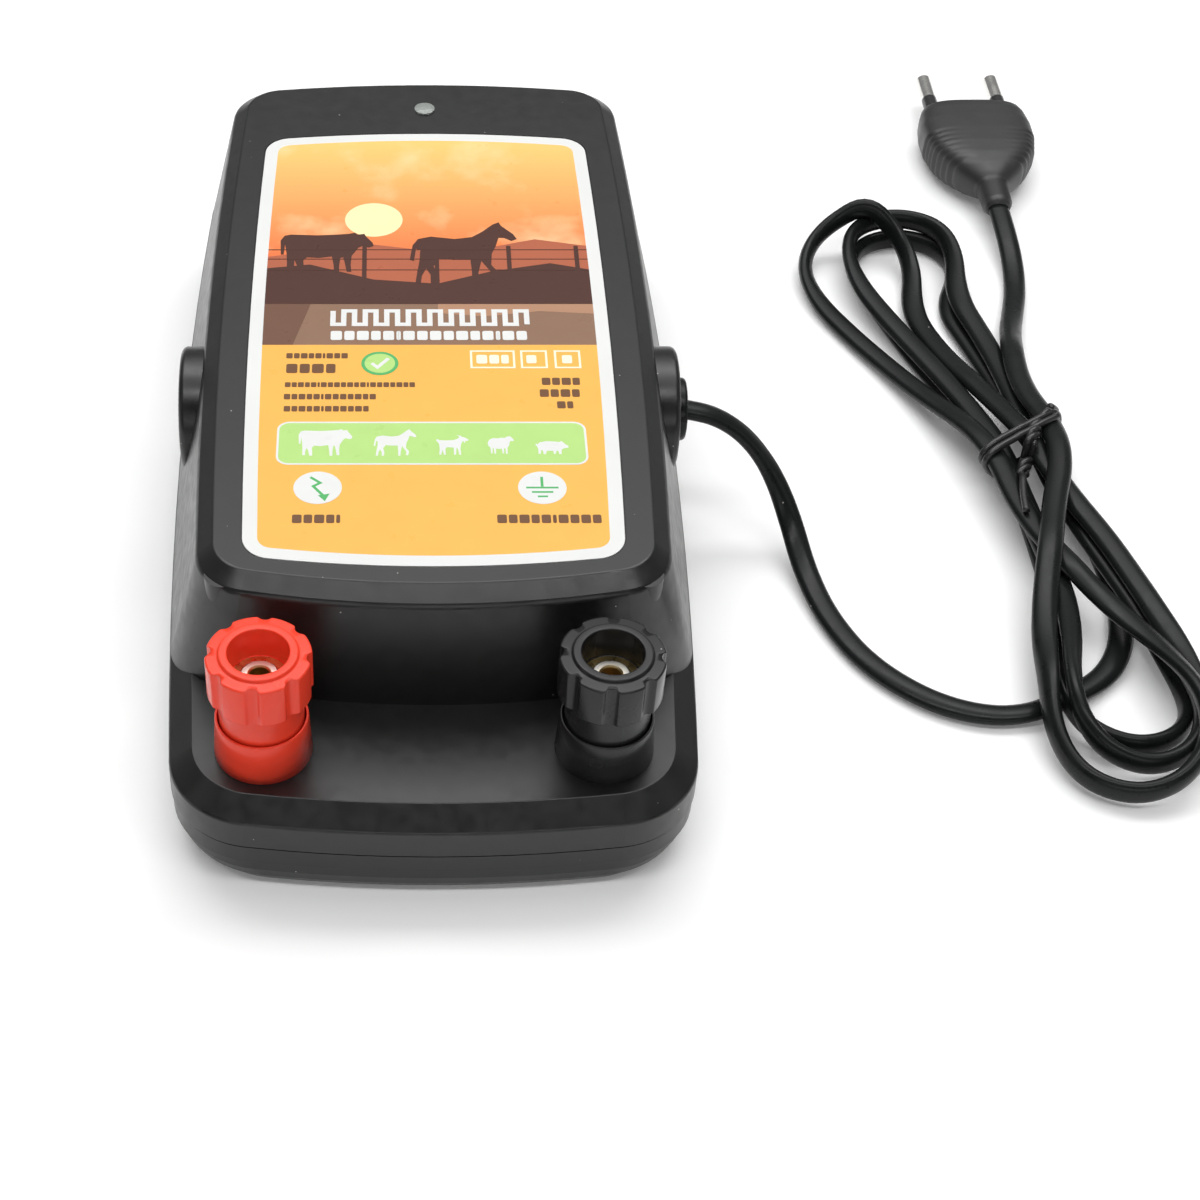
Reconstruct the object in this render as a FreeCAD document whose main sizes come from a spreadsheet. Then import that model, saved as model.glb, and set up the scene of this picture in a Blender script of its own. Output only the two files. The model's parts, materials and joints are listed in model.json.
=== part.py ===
"""Mains fence energizer lying on its back: +Z out of the labelled front, -Y towards the
binding posts, origin on the resting face in the middle of the case. Millimetres."""
import FreeCAD, Part
import math
import os

import Sketcher
from FreeCAD import Placement, Rotation, Vector

# Driving dimensions in millimetres, with degrees and counts where the name says so.
DIMENSIONS = {
    # plan of the case: bowed sides and ends between rounded corners
    "case_half_width": 54.9,
    "case_half_length": 110.0,
    "side_radius": 1450.0,
    "widest_y": 12.0,
    "end_radius": 270.0,
    "case_corner": 17.5,
    # heights above the resting face
    "floor_thickness": 2.4,
    "cover_step_z": 8.0,
    "seam_z": 12.1,
    "seam_gap": 0.6,
    "seam_depth": 1.0,
    "rim_top_z": 19.1,
    "ledge_z": 22.8,
    "shoulder_z": 47.3,
    "front_z": 50.0,
    # raised body on the upper shell
    "ledge_inset": 4.7,
    "foot_inset": 0.2,
    "foot_front_y": -80.6,
    "foot_corner": 15.0,
    "shoulder_half_width": 48.0,
    "shoulder_front_y": -77.9,
    "shoulder_back_y": 104.0,
    "shoulder_corner": 11.5,
    "plateau_half_width": 44.5,
    "plateau_front_y": -74.0,
    "plateau_back_y": 100.5,
    "plateau_corner": 8.5,
    "body_front_radius": 180.0,
    "rim_edge": 0.8,
    "ledge_edge": 0.4,
    "shoulder_edge": 1.6,
    "plateau_edge": 0.8,
    # shell walls
    "rim_wall": 4.8,
    "body_wall": 2.9,
    "top_wall": 3.0,
    "ledge_wall": 2.4,
    # label
    "label_half_width": 38.4,
    "label_front_y": -69.4,
    "label_back_y": 79.0,
    "label_side_radius": 1900.0,
    "label_end_radius": 230.0,
    "label_corner": 6.0,
    "label_thickness": 0.3,
    "label_recess": 0.3,
    "label_play": 0.3,
    # seal between the shells
    "seal_inset": 2.3,
    "seal_width": 1.4,
    "seal_height": 1.4,
    # case screws
    "screw_front_x": 40.5,
    "screw_front_y": -69.0,
    "screw_back_x": 38.0,
    "screw_back_y": 93.0,
    "pillar_radius": 4.6,
    "boss_radius": 3.6,
    "boss_bore_radius": 1.6,
    "boss_bore_top_z": 26.0,
    "counterbore_radius": 3.5,
    "counterbore_depth": 6.0,
    "case_screw_radius": 1.5,
    "case_screw_head_radius": 3.1,
    "case_screw_head_height": 2.2,
    "case_screw_length": 18.0,
    # keyholes in the back
    "keyhole_spacing": 110.0,
    "keyhole_middle_y": 12.0,
    "keyhole_entry_radius": 4.5,
    "keyhole_slot_radius": 2.3,
    "keyhole_slot_length": 8.0,
    "keyhole_pocket_height": 4.6,
    "keyhole_pocket_wall": 1.4,
    # round pads on the sides
    "pad_radius": 13.5,
    "pad_face_x": 53.1,
    "pad_y": -2.8,
    "pad_z": 33.5,
    "pad_depth": 14.0,
    "pad_wall": 2.4,
    "pad_edge": 1.4,
    # cord bushing
    "bushing_hole_radius": 5.3,
    "bushing_disc_radius": 6.8,
    "bushing_disc_length": 2.3,
    "bushing_nose_radius": 6.2,
    "bushing_inside_length": 9.0,
    "bushing_barb_radius": 6.0,
    # binding posts
    "post_x": 32.7,
    "post_y": -91.3,
    "collar_base_radius": 9.5,
    "collar_top_radius": 8.95,
    "collar_height": 9.5,
    "collar_recess_radius": 8.45,
    "collar_recess_depth": 4.2,
    "collar_bore_radius": 4.0,
    "stud_radius": 3.9,
    "stud_top": 20.4,
    "stud_below": 12.5,
    "stud_chamfer": 0.5,
    "socket_radius": 2.0,
    "socket_depth": 16.0,
    "wire_hole_radius": 1.5,
    "wire_hole_height": 10.8,
    "knob_radius": 10.0,
    "knob_bottom": 16.5,
    "knob_top": 26.4,
    "knob_edge": 0.7,
    "knob_neck_radius": 8.15,
    "knob_neck_bottom": 6.4,
    "knob_ring_radius": 7.4,
    "knob_ring_height": 0.7,
    "knob_recess_radius": 5.8,
    "knob_recess_floor": 19.4,
    "flute_count": 8.0,
    "flute_phase": -5.0,
    "flute_radius": 1.7,
    "flute_centre": 10.7,
    "insert_radius": 5.6,
    "insert_bore_radius": 3.96,
    "insert_bottom": 9.4,
    "insert_top": 19.4,
    "clamp_washer_radius": 7.6,
    "clamp_washer_thickness": 0.9,
    "clamp_washer_bottom": 5.5,
    "post_nut_flats": 13.0,
    "post_nut_height": 5.0,
    "post_washer_radius": 8.0,
    "post_washer_thickness": 1.2,
    "solder_tag_thickness": 0.8,
    "solder_tag_length": 20.0,
    "solder_tag_width": 6.0,
    # circuit board
    "board_half_width": 32.0,
    "board_front_y": -58.0,
    "board_back_y": 91.0,
    "board_z": 10.0,
    "board_thickness": 1.6,
    "board_screw_x": 27.5,
    "board_screw_front_y": -53.0,
    "board_screw_back_y": 86.5,
    "board_pillar_radius": 3.2,
    "board_hole_radius": 1.6,
    "board_screw_radius": 1.4,
    "board_screw_head_radius": 2.7,
    "board_screw_head_height": 1.8,
    "board_screw_length": 8.0,
    # parts on the board: transformer
    "core_x": -6.0,
    "core_y": 44.0,
    "core_width": 44.0,
    "core_depth": 20.0,
    "core_height": 34.0,
    "core_leg": 12.0,
    "core_side_leg": 6.5,
    "core_yoke": 6.0,
    "bobbin_wall": 1.0,
    "coil_play": 0.2,
    # storage capacitor
    "capacitor_x": -6.0,
    "capacitor_y": 5.0,
    "capacitor_length": 46.0,
    "capacitor_width": 26.0,
    "capacitor_height": 30.0,
    "capacitor_edge": 2.0,
    # charge resistors, diodes and small electrolytics
    "resistor_length": 22.0,
    "resistor_side": 8.0,
    "resistor_stand": 3.0,
    "resistor_leg_radius": 0.4,
    "resistor_leg_spread": 2.5,
    "diode_radius": 1.35,
    "diode_length": 5.0,
    "diode_stand": 0.3,
    "diode_leg": 0.8,
    "diode_leg_height": 2.4,
    "can_radius": 5.0,
    "can_height": 12.5,
    # timing chip
    "chip_x": -4.0,
    "chip_y": -30.0,
    "chip_length": 9.6,
    "chip_width": 6.4,
    "chip_height": 3.4,
    "chip_stand": 0.6,
    "chip_pitch": 2.54,
    "chip_foot_length": 1.0,
    "chip_foot_width": 0.5,
    "chip_foot_height": 2.4,
    # thyristor on its heat sink
    "sink_x": 27.0,
    "sink_y": -12.0,
    "sink_width": 24.0,
    "sink_height": 25.0,
    "sink_base": 2.5,
    "fin_length": 5.0,
    "fin_thickness": 1.4,
    "thyristor_stand": 5.0,
    "thyristor_width": 10.0,
    "tab_thickness": 1.3,
    "tab_height": 15.0,
    "mould_thickness": 3.0,
    "mould_height": 9.0,
    "mould_proud": 0.65,
    "thyristor_pin_width": 0.9,
    "thyristor_pin_thickness": 0.6,
    # mains fuse, terminals, indicator
    "fuse_x": 19.0,
    "fuse_y": -46.0,
    "fuse_radius": 2.6,
    "fuse_length": 20.0,
    "fuse_axis_height": 6.0,
    "clip_width": 7.0,
    "clip_length": 4.0,
    "clip_spread": 7.5,
    "clip_above_axis": 2.0,
    "terminal_x": 26.5,
    "terminal_y": 9.0,
    "terminal_depth": 9.0,
    "terminal_width": 11.0,
    "terminal_height": 10.0,
    "terminal_pitch": 5.2,
    "terminal_hole_radius": 1.5,
    "terminal_hole_depth": 5.5,
    "terminal_hole_height": 3.6,
    "led_radius": 2.5,
    "led_height": 7.0,
    "led_y": 89.5,
    "light_pipe_radius": 2.4,
    "light_pipe_proud": 0.8,
    "light_pipe_gap": 0.3,
    # internal wires
    "wire_radius": 1.1,
    # mains lead and what is on it
    "lead_radius": 2.7,
    "hank_height": 15.0,
    "hank_turn": 8.0,
    "tie_width": 4.0,
    "tie_angle": 36.0,
    "tie_wall": 1.0,
    "plug_x": 150.0,
    "plug_y": 120.0,
    "plug_length": 33.0,
    "plug_width": 30.0,
    "plug_height": 13.8,
    "plug_neck_radius": 4.2,
    "plug_neck_length": 10.0,
    "pin_radius": 2.0,
    "pin_length": 19.0,
    "pin_spacing": 18.6,
}

FIN_COUNT = 5
CHIP_FEET = 8
# Turns that lay an upright cylinder along X, along Y or along -Y.
LYING_X = Rotation(Vector(0, 1, 0), 90.0)
LYING_Y = Rotation(Vector(1, 0, 0), -90.0)
LYING_MINUS_Y = Rotation(Vector(1, 0, 0), 90.0)

# Outlines of the rounded underside: height, inset and corner radius.
BELLY = (
    (0.0, 4.6, 23.0), (0.5, 3.1, 21.5), (1.4, 2.1, 20.0), (2.8, 1.4, 19.0), (5.0, 0.95, 18.0), (8.0, 0.75, 17.5),
)
# Places of the small parts on the board: x, y.
SMALL_CAPACITORS = ((-22.0, -32.0), (-22.0, -46.0), (-6.0, -48.0))
POWER_RESISTORS = ((23.5, 34.0), (23.5, 50.0), (23.5, 66.0))
DIODES = ((4.0, -34.0), (4.0, -28.0), (4.0, -22.0), (4.0, -16.0))

# Routes as lists of corner points; each corner is rounded by as large an arc as its runs allow.
LEAD_ROUTE = (
    (55.4, -2.8, 33.5), (62.6, -2.9, 31.5), (69.2, -3.6, 25.8), (74.8, -6.0, 17.0), (78.8, -11.6, 8.4),
    (81.2, -22.2, 3.3), (85.0, -36.5, 2.8), (92.6, -51.6, 2.8), (106.0, -62.6, 2.8), (120.5, -65.2, 2.8),
    (133.5, -60.0, 2.8),
)
TAIL_ROUTE = (
    (147.0, 72.0, 4.4), (149.6, 81.5, 3.0), (150.9, 91.3, 3.9), (150.5, 101.0, 6.2), (150.0, 110.0, 6.9),
)
# Outline of the hank lying on the resting surface, seen from above.
HANK_OUTLINE = (
    (97.0, 62.0), (92.5, 84.0), (103.0, 97.0), (122.0, 101.0), (141.0, 94.0), (151.5, 74.0), (150.5, 46.0),
    (148.0, 24.0), (150.5, 2.0), (155.0, -30.0), (161.0, -58.0), (158.5, -80.0), (147.0, -90.0),
    (134.0, -84.0), (125.5, -60.0), (125.5, -30.0), (128.0, -6.0), (128.5, 9.0), (120.0, 24.0), (109.0, 41.0),
)
HANK_WAIST = (138.2, 16.0)

document = FreeCAD.newDocument("fence_energizer")
sheet = document.addObject("Spreadsheet::Sheet", "dims")
nodes = []


# ---------------------------------------------------------------- helpers
def fill_sheet():
    """Write every driving dimension into the sheet under its own alias."""
    for row, (name, value) in enumerate(DIMENSIONS.items(), start=1):
        sheet.set("A%d" % row, name)
        sheet.set("B%d" % row, repr(value))
        sheet.setAlias("B%d" % row, name)
    document.recompute()


def size(text):
    """Value of a dimension, or of a sum of dimensions, from the sheet."""
    return float(sheet.evalExpression(cells(text)))


def cells(text):
    """Turn dimension names in a formula into references to the sheet."""
    out = []
    word = ""
    for letter in text + " ":
        if letter.isalnum() or letter in "_.":
            word += letter
            continue
        out.append("dims." + word if word in DIMENSIONS else word)
        out.append(letter)
        word = ""
    return "".join(out).strip()


def bind(item, prop, text):
    item.setExpression(prop, cells(text))


def place(item, x="0", y="0", z="0", turn=None):
    """Put an object at a place given by formulas; turn is a Rotation."""
    if turn is not None:
        item.Placement = Placement(Vector(), turn)
    bind(item, "Placement.Base.x", x)
    bind(item, "Placement.Base.y", y)
    bind(item, "Placement.Base.z", z)
    return item


def name_node(item, label):
    item.Label = label
    nodes.append(item)
    return item


def origin_plane(body, role):
    for feature in body.Origin.OriginFeatures:
        if feature.Role == role:
            return feature
    raise ValueError(role)


def profile_sketch(body, role, points):
    """Closed polygon sketch whose corner coordinates are bound to the sheet."""
    sketch = body.newObject("Sketcher::SketchObject", body.Name + "_profile")
    sketch.AttachmentSupport = [(origin_plane(body, role), "")]
    sketch.MapMode = "FlatFace"
    values = [Vector(size(across), size(up), 0) for across, up in points]
    count = len(values)
    for index in range(count):
        sketch.addGeometry(Part.LineSegment(values[index], values[(index + 1) % count]), False)
    for index in range(count):
        sketch.addConstraint(Sketcher.Constraint("Coincident", index, 2, (index + 1) % count, 1))
    for index, (across, up) in enumerate(points):
        for kind, text, value in (("DistanceX", across, values[index].x), ("DistanceY", up, values[index].y)):
            if value == 0.0:
                axis = -2 if kind == "DistanceX" else -1
                sketch.addConstraint(Sketcher.Constraint("PointOnObject", index, 1, axis))
                continue
            number = sketch.addConstraint(Sketcher.Constraint(kind, -1, 1, index, 1, value))
            bind(sketch, "Constraints[%d]" % number, text)
    return sketch


def revolved_body(label, points):
    """Body turned about its own Z axis from a profile of (radius, height) formulas."""
    body = document.addObject("PartDesign::Body", label)
    sketch = profile_sketch(body, "XZ_Plane", points)
    turned = body.newObject("PartDesign::Revolution", label + "_turned")
    turned.Profile = sketch
    turned.ReferenceAxis = (sketch, ["V_Axis"])
    turned.Angle = 360.0
    sketch.Visibility = False
    document.recompute()
    return body


def padded_body(label, points, length):
    """Body pulled up along its own Z from a polygon of (x, y) formulas."""
    body = document.addObject("PartDesign::Body", label)
    pad = body.newObject("PartDesign::Pad", label + "_pad")
    pad.Profile = profile_sketch(body, "XY_Plane", points)
    bind(pad, "Length", length)
    document.recompute()
    return body


def rectangle(half_x, half_y):
    minus_x = "-(%s)" % half_x
    minus_y = "-(%s)" % half_y
    return ((minus_x, minus_y), (half_x, minus_y), (half_x, half_y), (minus_x, half_y))


def cylinder(label, radius, height, x="0", y="0", z="0", turn=None):
    item = document.addObject("Part::Cylinder", label)
    bind(item, "Radius", radius)
    bind(item, "Height", height)
    return place(item, x, y, z, turn)


def block(label, length, width, height, x="0", y="0", z="0"):
    """Box with its middle at x, y and its underside at z."""
    item = document.addObject("Part::Box", label)
    bind(item, "Length", length)
    bind(item, "Width", width)
    bind(item, "Height", height)
    return place(item, "%s-(%s)/2" % (x, length), "%s-(%s)/2" % (y, width), z)


def cut(label, base, tool):
    item = document.addObject("Part::Cut", label)
    item.Base = base
    item.Tool = tool
    return item


def fuse(label, items):
    item = document.addObject("Part::MultiFuse", label)
    item.Shapes = items
    return item


def group(label, items):
    """Several separate solids of one kind in one node."""
    item = document.addObject("Part::Compound", label)
    item.Links = items
    return item


def shaped(label, shape):
    item = document.addObject("Part::Feature", label)
    item.Shape = shape
    return item


# ---------------------------------------------------------------- outlines
def circles_meet(centre_a, radius_a, centre_b, radius_b, side):
    """Point where two circles cross, on the given side of the line between centres."""
    gap = centre_b - centre_a
    along = (gap.Length ** 2 + radius_a ** 2 - radius_b ** 2) / (2 * gap.Length)
    across = math.sqrt(radius_a ** 2 - along ** 2)
    unit = gap.normalize()
    return centre_a + unit * along + Vector(-unit.y, unit.x, 0) * across * side


def arc_edge(start, middle, end):
    return Part.Arc(start, middle, end).toShape()


def bowed_outline(z, half_width, front_y, back_y, corner, front_radius, side_radius=None):
    """Closed wire with bowed sides and ends and rounded corners."""
    side = side_radius or size("side_radius")
    back_radius = size("end_radius")
    widest = size("widest_y")
    side_centre = Vector(half_width - side, widest, 0)
    ends = []
    for end_centre, radius, turn in (
            (Vector(0, front_y + front_radius, 0), front_radius, -1),
            (Vector(0, back_y - back_radius, 0), back_radius, 1)):
        middle = circles_meet(side_centre, side - corner, end_centre, radius - corner, 1)
        other = circles_meet(side_centre, side - corner, end_centre, radius - corner, -1)
        if (other.y - middle.y) * turn > 0:
            middle = other
        on_side = side_centre + (middle - side_centre).normalize() * side
        on_end = end_centre + (middle - end_centre).normalize() * radius
        bend = middle + ((on_side - middle) + (on_end - middle)).normalize() * corner
        ends.append((on_side, bend, on_end))
    (side_f, bend_f, end_f), (side_b, bend_b, end_b) = ends

    def mirrored(point):
        return Vector(-point.x, point.y, 0)

    edges = [
        arc_edge(mirrored(end_f), Vector(0, front_y, 0), end_f),
        arc_edge(end_f, bend_f, side_f),
        arc_edge(side_f, Vector(half_width, widest, 0), side_b),
        arc_edge(side_b, bend_b, end_b),
        arc_edge(end_b, Vector(0, back_y, 0), mirrored(end_b)),
        arc_edge(mirrored(end_b), mirrored(bend_b), mirrored(side_b)),
        arc_edge(mirrored(side_b), Vector(-half_width, widest, 0), mirrored(side_f)),
        arc_edge(mirrored(side_f), mirrored(bend_f), mirrored(end_f)),
    ]
    wire = Part.Wire(edges)
    wire.translate(Vector(0, 0, z))
    return wire


def case_outline(z, inset, corner=None):
    """Outline of the case, moved in by the inset."""
    return bowed_outline(
        z, size("case_half_width") - inset, inset - size("case_half_length"),
        size("case_half_length") - inset, corner or max(size("case_corner") - inset, 2.0),
        size("end_radius") - inset)


def body_outline(z, half_width, front_y, back_y, corner):
    return bowed_outline(z, half_width, front_y, back_y, corner, size("body_front_radius"))


def prism(wire, height):
    return Part.Face(wire).extrude(Vector(0, 0, height))


def loft(wires, ruled=True):
    return Part.makeLoft(wires, True, ruled)


def foot_outline(z, inset):
    return body_outline(z, size("case_half_width-foot_inset") - inset, size("foot_front_y") + inset,
                        size("case_half_length-foot_inset") - inset, size("foot_corner") - inset)


def shoulder_outline(z, inset):
    return body_outline(z, size("shoulder_half_width") - inset, size("shoulder_front_y") + inset,
                        size("shoulder_back_y") - inset, size("shoulder_corner") - inset)


def plateau_outline(z, inset):
    return body_outline(z, size("plateau_half_width") - inset, size("plateau_front_y") + inset,
                        size("plateau_back_y") - inset, size("plateau_corner") - inset)


def label_outline(z, grow):
    return bowed_outline(z, size("label_half_width") + grow, size("label_front_y") - grow,
                         size("label_back_y") + grow, size("label_corner") + grow,
                         size("label_end_radius"), size("label_side_radius"))


def screw_places():
    for side in (-1, 1):
        yield side * size("screw_front_x"), size("screw_front_y")
        yield side * size("screw_back_x"), size("screw_back_y")


def board_screw_places():
    for side in (-1, 1):
        for name in ("board_screw_front_y", "board_screw_back_y"):
            yield side * size("board_screw_x"), size(name)


def upright(radius, x, y, low, high):
    return Part.makeCylinder(radius, high - low, Vector(x, y, low))


def side_cylinder(radius, side, near_x, far_x):
    """Cylinder along X through the middle of a side pad."""
    start = Vector(side * near_x, size("pad_y"), size("pad_z"))
    return Part.makeCylinder(radius, far_x - near_x, start, Vector(side, 0, 0))


# ---------------------------------------------------------------- case
def softened(solid, levels):
    """Round every edge that lies wholly at one of the given heights."""
    for z, radius in levels:
        edges = [edge for edge in solid.Edges
                 if abs(edge.BoundBox.ZMin - z) < 0.05 and abs(edge.BoundBox.ZMax - z) < 0.05]
        solid = solid.makeFillet(radius, edges)
    return solid


def make_front_housing():
    seam = size("seam_z")
    above = size("seam_z+seam_gap")
    rim = size("rim_top_z")
    ledge = size("ledge_z")
    flange = prism(case_outline(above, 0), rim - above)
    flange = flange.fuse(loft([case_outline(rim, 0), case_outline(ledge, size("ledge_inset"))])).removeSplitter()
    flange = softened(flange, ((rim, size("rim_edge")), (ledge, size("ledge_edge"))))
    shoulder = size("shoulder_z")
    front = size("front_z")
    body = loft([foot_outline(rim, 0), shoulder_outline(shoulder, 0)])
    body = body.fuse(loft([shoulder_outline(shoulder, 0), plateau_outline(front, 0)])).removeSplitter()
    body = softened(body, ((shoulder, size("shoulder_edge")), (front, size("plateau_edge"))))
    skin = prism(case_outline(seam, size("seam_depth")), size("seam_gap")).fuse(flange).fuse(body)
    far = size("pad_face_x")
    near = far - size("pad_depth")
    for side in (-1, 1):
        pad = side_cylinder(size("pad_radius"), side, near, far)
        rims = [edge for edge in pad.Edges if abs(edge.CenterOfMass.x - side * far) < 0.01]
        skin = skin.fuse(pad.makeFillet(size("pad_edge"), rims))

    rim_wall = size("rim_wall")
    wall = size("body_wall")
    hollow = prism(case_outline(0, rim_wall), size("ledge_z-ledge_wall"))
    top = size("front_z-top_wall")
    hollow = hollow.fuse(loft([foot_outline(rim - 1.0, wall + 2.0), shoulder_outline(top, wall)]))
    for side in (-1, 1):
        hollow = hollow.fuse(side_cylinder(size("pad_radius-pad_wall"), side, near, far - size("pad_wall")))
    shell = skin.cut(hollow)

    bosses = [upright(size("boss_radius"), x, y, seam, top + 0.5) for x, y in screw_places()]
    bores = [upright(size("boss_bore_radius"), x, y, 0, size("boss_bore_top_z")) for x, y in screw_places()]
    shell = shell.fuse(bosses).cut(bores)
    shell = shell.cut(prism(label_outline(size("front_z-label_recess"), size("label_play")), 5.0))
    shell = shell.cut(side_cylinder(size("bushing_hole_radius"), 1, near, far + 1.0))
    shell = shell.cut(upright(size("light_pipe_radius"), 0, size("led_y"), top - 5.0, size("front_z") + 1.0))
    for side in (-1, 1):
        shell = shell.cut(upright(size("collar_bore_radius"), side * size("post_x"), size("post_y"), 0, ledge + 1.0))
    return name_node(shaped("front_housing", shell.removeSplitter()), "front_housing")


def keyhole_places():
    middle = size("keyhole_middle_y")
    half = size("keyhole_spacing/2")
    return middle - half, middle + half


def make_rear_cover():
    seam = size("seam_z")
    step = size("cover_step_z")
    band = prism(case_outline(step, 0.3), seam - step)
    belly = loft([case_outline(z, inset, corner) for z, inset, corner in BELLY])
    cover = band.fuse(belly)
    floor = size("floor_thickness")
    cover = cover.cut(prism(case_outline(floor, size("rim_wall") + 0.6, 16.0), seam))

    added = [upright(size("pillar_radius"), x, y, 1.0, seam) for x, y in screw_places()]
    added += [upright(size("board_pillar_radius"), x, y, 1.0, size("board_z")) for x, y in board_screw_places()]
    wall = size("keyhole_pocket_wall")
    room = size("keyhole_entry_radius") + 0.6
    run = size("keyhole_slot_length")
    height = size("keyhole_pocket_height")
    for y in keyhole_places():
        corner = Vector(-room - wall, y - room - wall, 1.0)
        added.append(Part.makeBox(2 * (room + wall), 2 * (room + wall) + run, floor + height + wall - 1.0, corner))
    cover = cover.fuse(added)

    removed = [upright(size("counterbore_radius"), x, y, -1.0, size("counterbore_depth"))
               for x, y in screw_places()]
    removed += [upright(size("case_screw_radius") + 0.1, x, y, 0, seam + 1.0) for x, y in screw_places()]
    removed += [upright(size("board_hole_radius"), x, y, 2.0, seam) for x, y in board_screw_places()]
    slot = size("keyhole_slot_radius")
    for y in keyhole_places():
        removed.append(Part.makeBox(2 * room, 2 * room + run, height, Vector(-room, y - room, floor)))
        removed.append(upright(size("keyhole_entry_radius"), 0, y, -1.0, floor + 0.5))
        removed.append(upright(slot, 0, y + run, -1.0, floor + 0.5))
        removed.append(Part.makeBox(2 * slot, run, floor + 1.5, Vector(-slot, y, -1.0)))
    groove = seal_ring(seam - size("seal_height"), size("seal_height") + 1.0)
    cover = cover.cut(removed).cut(groove)
    return name_node(shaped("rear_cover", cover.removeSplitter()), "rear_cover")


def seal_ring(z, height):
    inset = size("seal_inset")
    outer = prism(case_outline(z, inset), height)
    return outer.cut(prism(case_outline(z, inset + size("seal_width")), height))


def make_housing_seal():
    height = size("seal_height")
    return name_node(shaped("housing_seal", seal_ring(size("seam_z") - height, height)), "housing_seal")


def make_front_label():
    label = prism(label_outline(size("front_z-label_recess"), 0), size("label_thickness"))
    return name_node(shaped("front_label", label), "front_label")


def make_screws(label, places, prefix, head_z, head_up):
    """Pan-head screws; the head sits above its seat, or below it where the screw points up."""
    screws = []
    for number, (x, y) in enumerate(places, start=1):
        profile = (
            ("0", "0"), (prefix + "_head_radius", "0"),
            (prefix + "_head_radius", prefix + "_head_height"),
            (prefix + "_radius", prefix + "_head_height"),
            (prefix + "_radius", prefix + "_head_height+" + prefix + "_length"),
            ("0", prefix + "_head_height+" + prefix + "_length"),
        )
        screw = revolved_body("%s_%d" % (label[:-1], number), profile)
        turn = Rotation(Vector(1, 0, 0), 180.0) if head_up else None
        place(screw, repr(x), repr(y), head_z, turn)
        screws.append(screw)
    return name_node(group(label + "_set", screws), label)


# ---------------------------------------------------------------- binding posts
def post_place(side):
    return "%d*post_x" % side, "post_y"


def make_collar(colour, side):
    base = "ledge_z"
    body = revolved_body(colour + "_post_collar", (
        ("collar_bore_radius", "0"), ("collar_base_radius", "0"), ("collar_base_radius", "0.6"),
        ("collar_top_radius+0.1", "collar_height-0.9"), ("collar_top_radius+0.1", "collar_height-0.3"),
        ("collar_top_radius-0.2", "collar_height"), ("collar_recess_radius", "collar_height"),
        ("collar_recess_radius", "collar_height-collar_recess_depth"),
        ("collar_bore_radius", "collar_height-collar_recess_depth"),
    ))
    x, y = post_place(side)
    return name_node(place(body, x, y, base), colour + "_post_collar")


def make_stud(colour, side):
    """Threaded stud with a plug socket in its end and a cross hole for the fence wire."""
    turned = revolved_body(colour + "_stud_blank", (
        ("0", "-stud_below"), ("stud_radius-stud_chamfer", "-stud_below"),
        ("stud_radius", "-stud_below+stud_chamfer"), ("stud_radius", "stud_top-stud_chamfer"),
        ("stud_radius-stud_chamfer", "stud_top"), ("socket_radius+0.3", "stud_top"),
        ("socket_radius", "stud_top-0.3"), ("socket_radius", "stud_top-socket_depth"),
        ("0", "stud_top-socket_depth-1"),
    ))
    hole = cylinder(colour + "_wire_hole", "wire_hole_radius", "4*stud_radius", "-2*stud_radius", "0",
                    "wire_hole_height", LYING_X)
    stud = cut(colour + "_stud_cut", turned, hole)
    x, y = post_place(side)
    return name_node(place(stud, x, y, "ledge_z"), colour + "_post_stud")


def make_knob(colour, side):
    """Fluted screw-down knob: body turned, then grooves cut around it."""
    body = revolved_body(colour + "_knob_blank", (
        ("insert_bore_radius+0.6", "knob_neck_bottom"), ("knob_neck_radius-0.4", "knob_neck_bottom"),
        ("knob_neck_radius", "knob_neck_bottom+0.4"), ("knob_neck_radius", "knob_bottom"),
        ("knob_radius-knob_edge", "knob_bottom"), ("knob_radius", "knob_bottom+knob_edge"),
        ("knob_radius", "knob_top-knob_ring_height-knob_edge"),
        ("knob_radius-knob_edge", "knob_top-knob_ring_height"),
        ("knob_ring_radius+0.2", "knob_top-knob_ring_height"), ("knob_ring_radius", "knob_top"),
        ("knob_recess_radius+0.3", "knob_top"), ("knob_recess_radius", "knob_top-0.4"),
        ("knob_recess_radius", "knob_recess_floor"), ("insert_radius", "knob_recess_floor"),
        ("insert_radius", "insert_bottom"), ("insert_bore_radius+0.6", "insert_bottom"),
    ))
    flutes = []
    count = int(size("flute_count"))
    for number in range(count):
        angle = math.radians(360.0 / count * number + size("flute_phase"))
        flutes.append(cylinder("%s_flute_%d" % (colour, number), "flute_radius", "knob_top-knob_bottom+2",
                               "%.6f*flute_centre" % math.cos(angle), "%.6f*flute_centre" % math.sin(angle),
                               "knob_bottom-1"))
    knob = cut(colour + "_knob_cut", body, group(colour + "_flutes", flutes))
    x, y = post_place(side)
    return name_node(place(knob, x, y, "ledge_z"), colour + "_knob")


def ring_body(label, inner, outer, bottom, top):
    return revolved_body(label, ((inner, bottom), (outer, bottom), (outer, top), (inner, top)))


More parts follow.
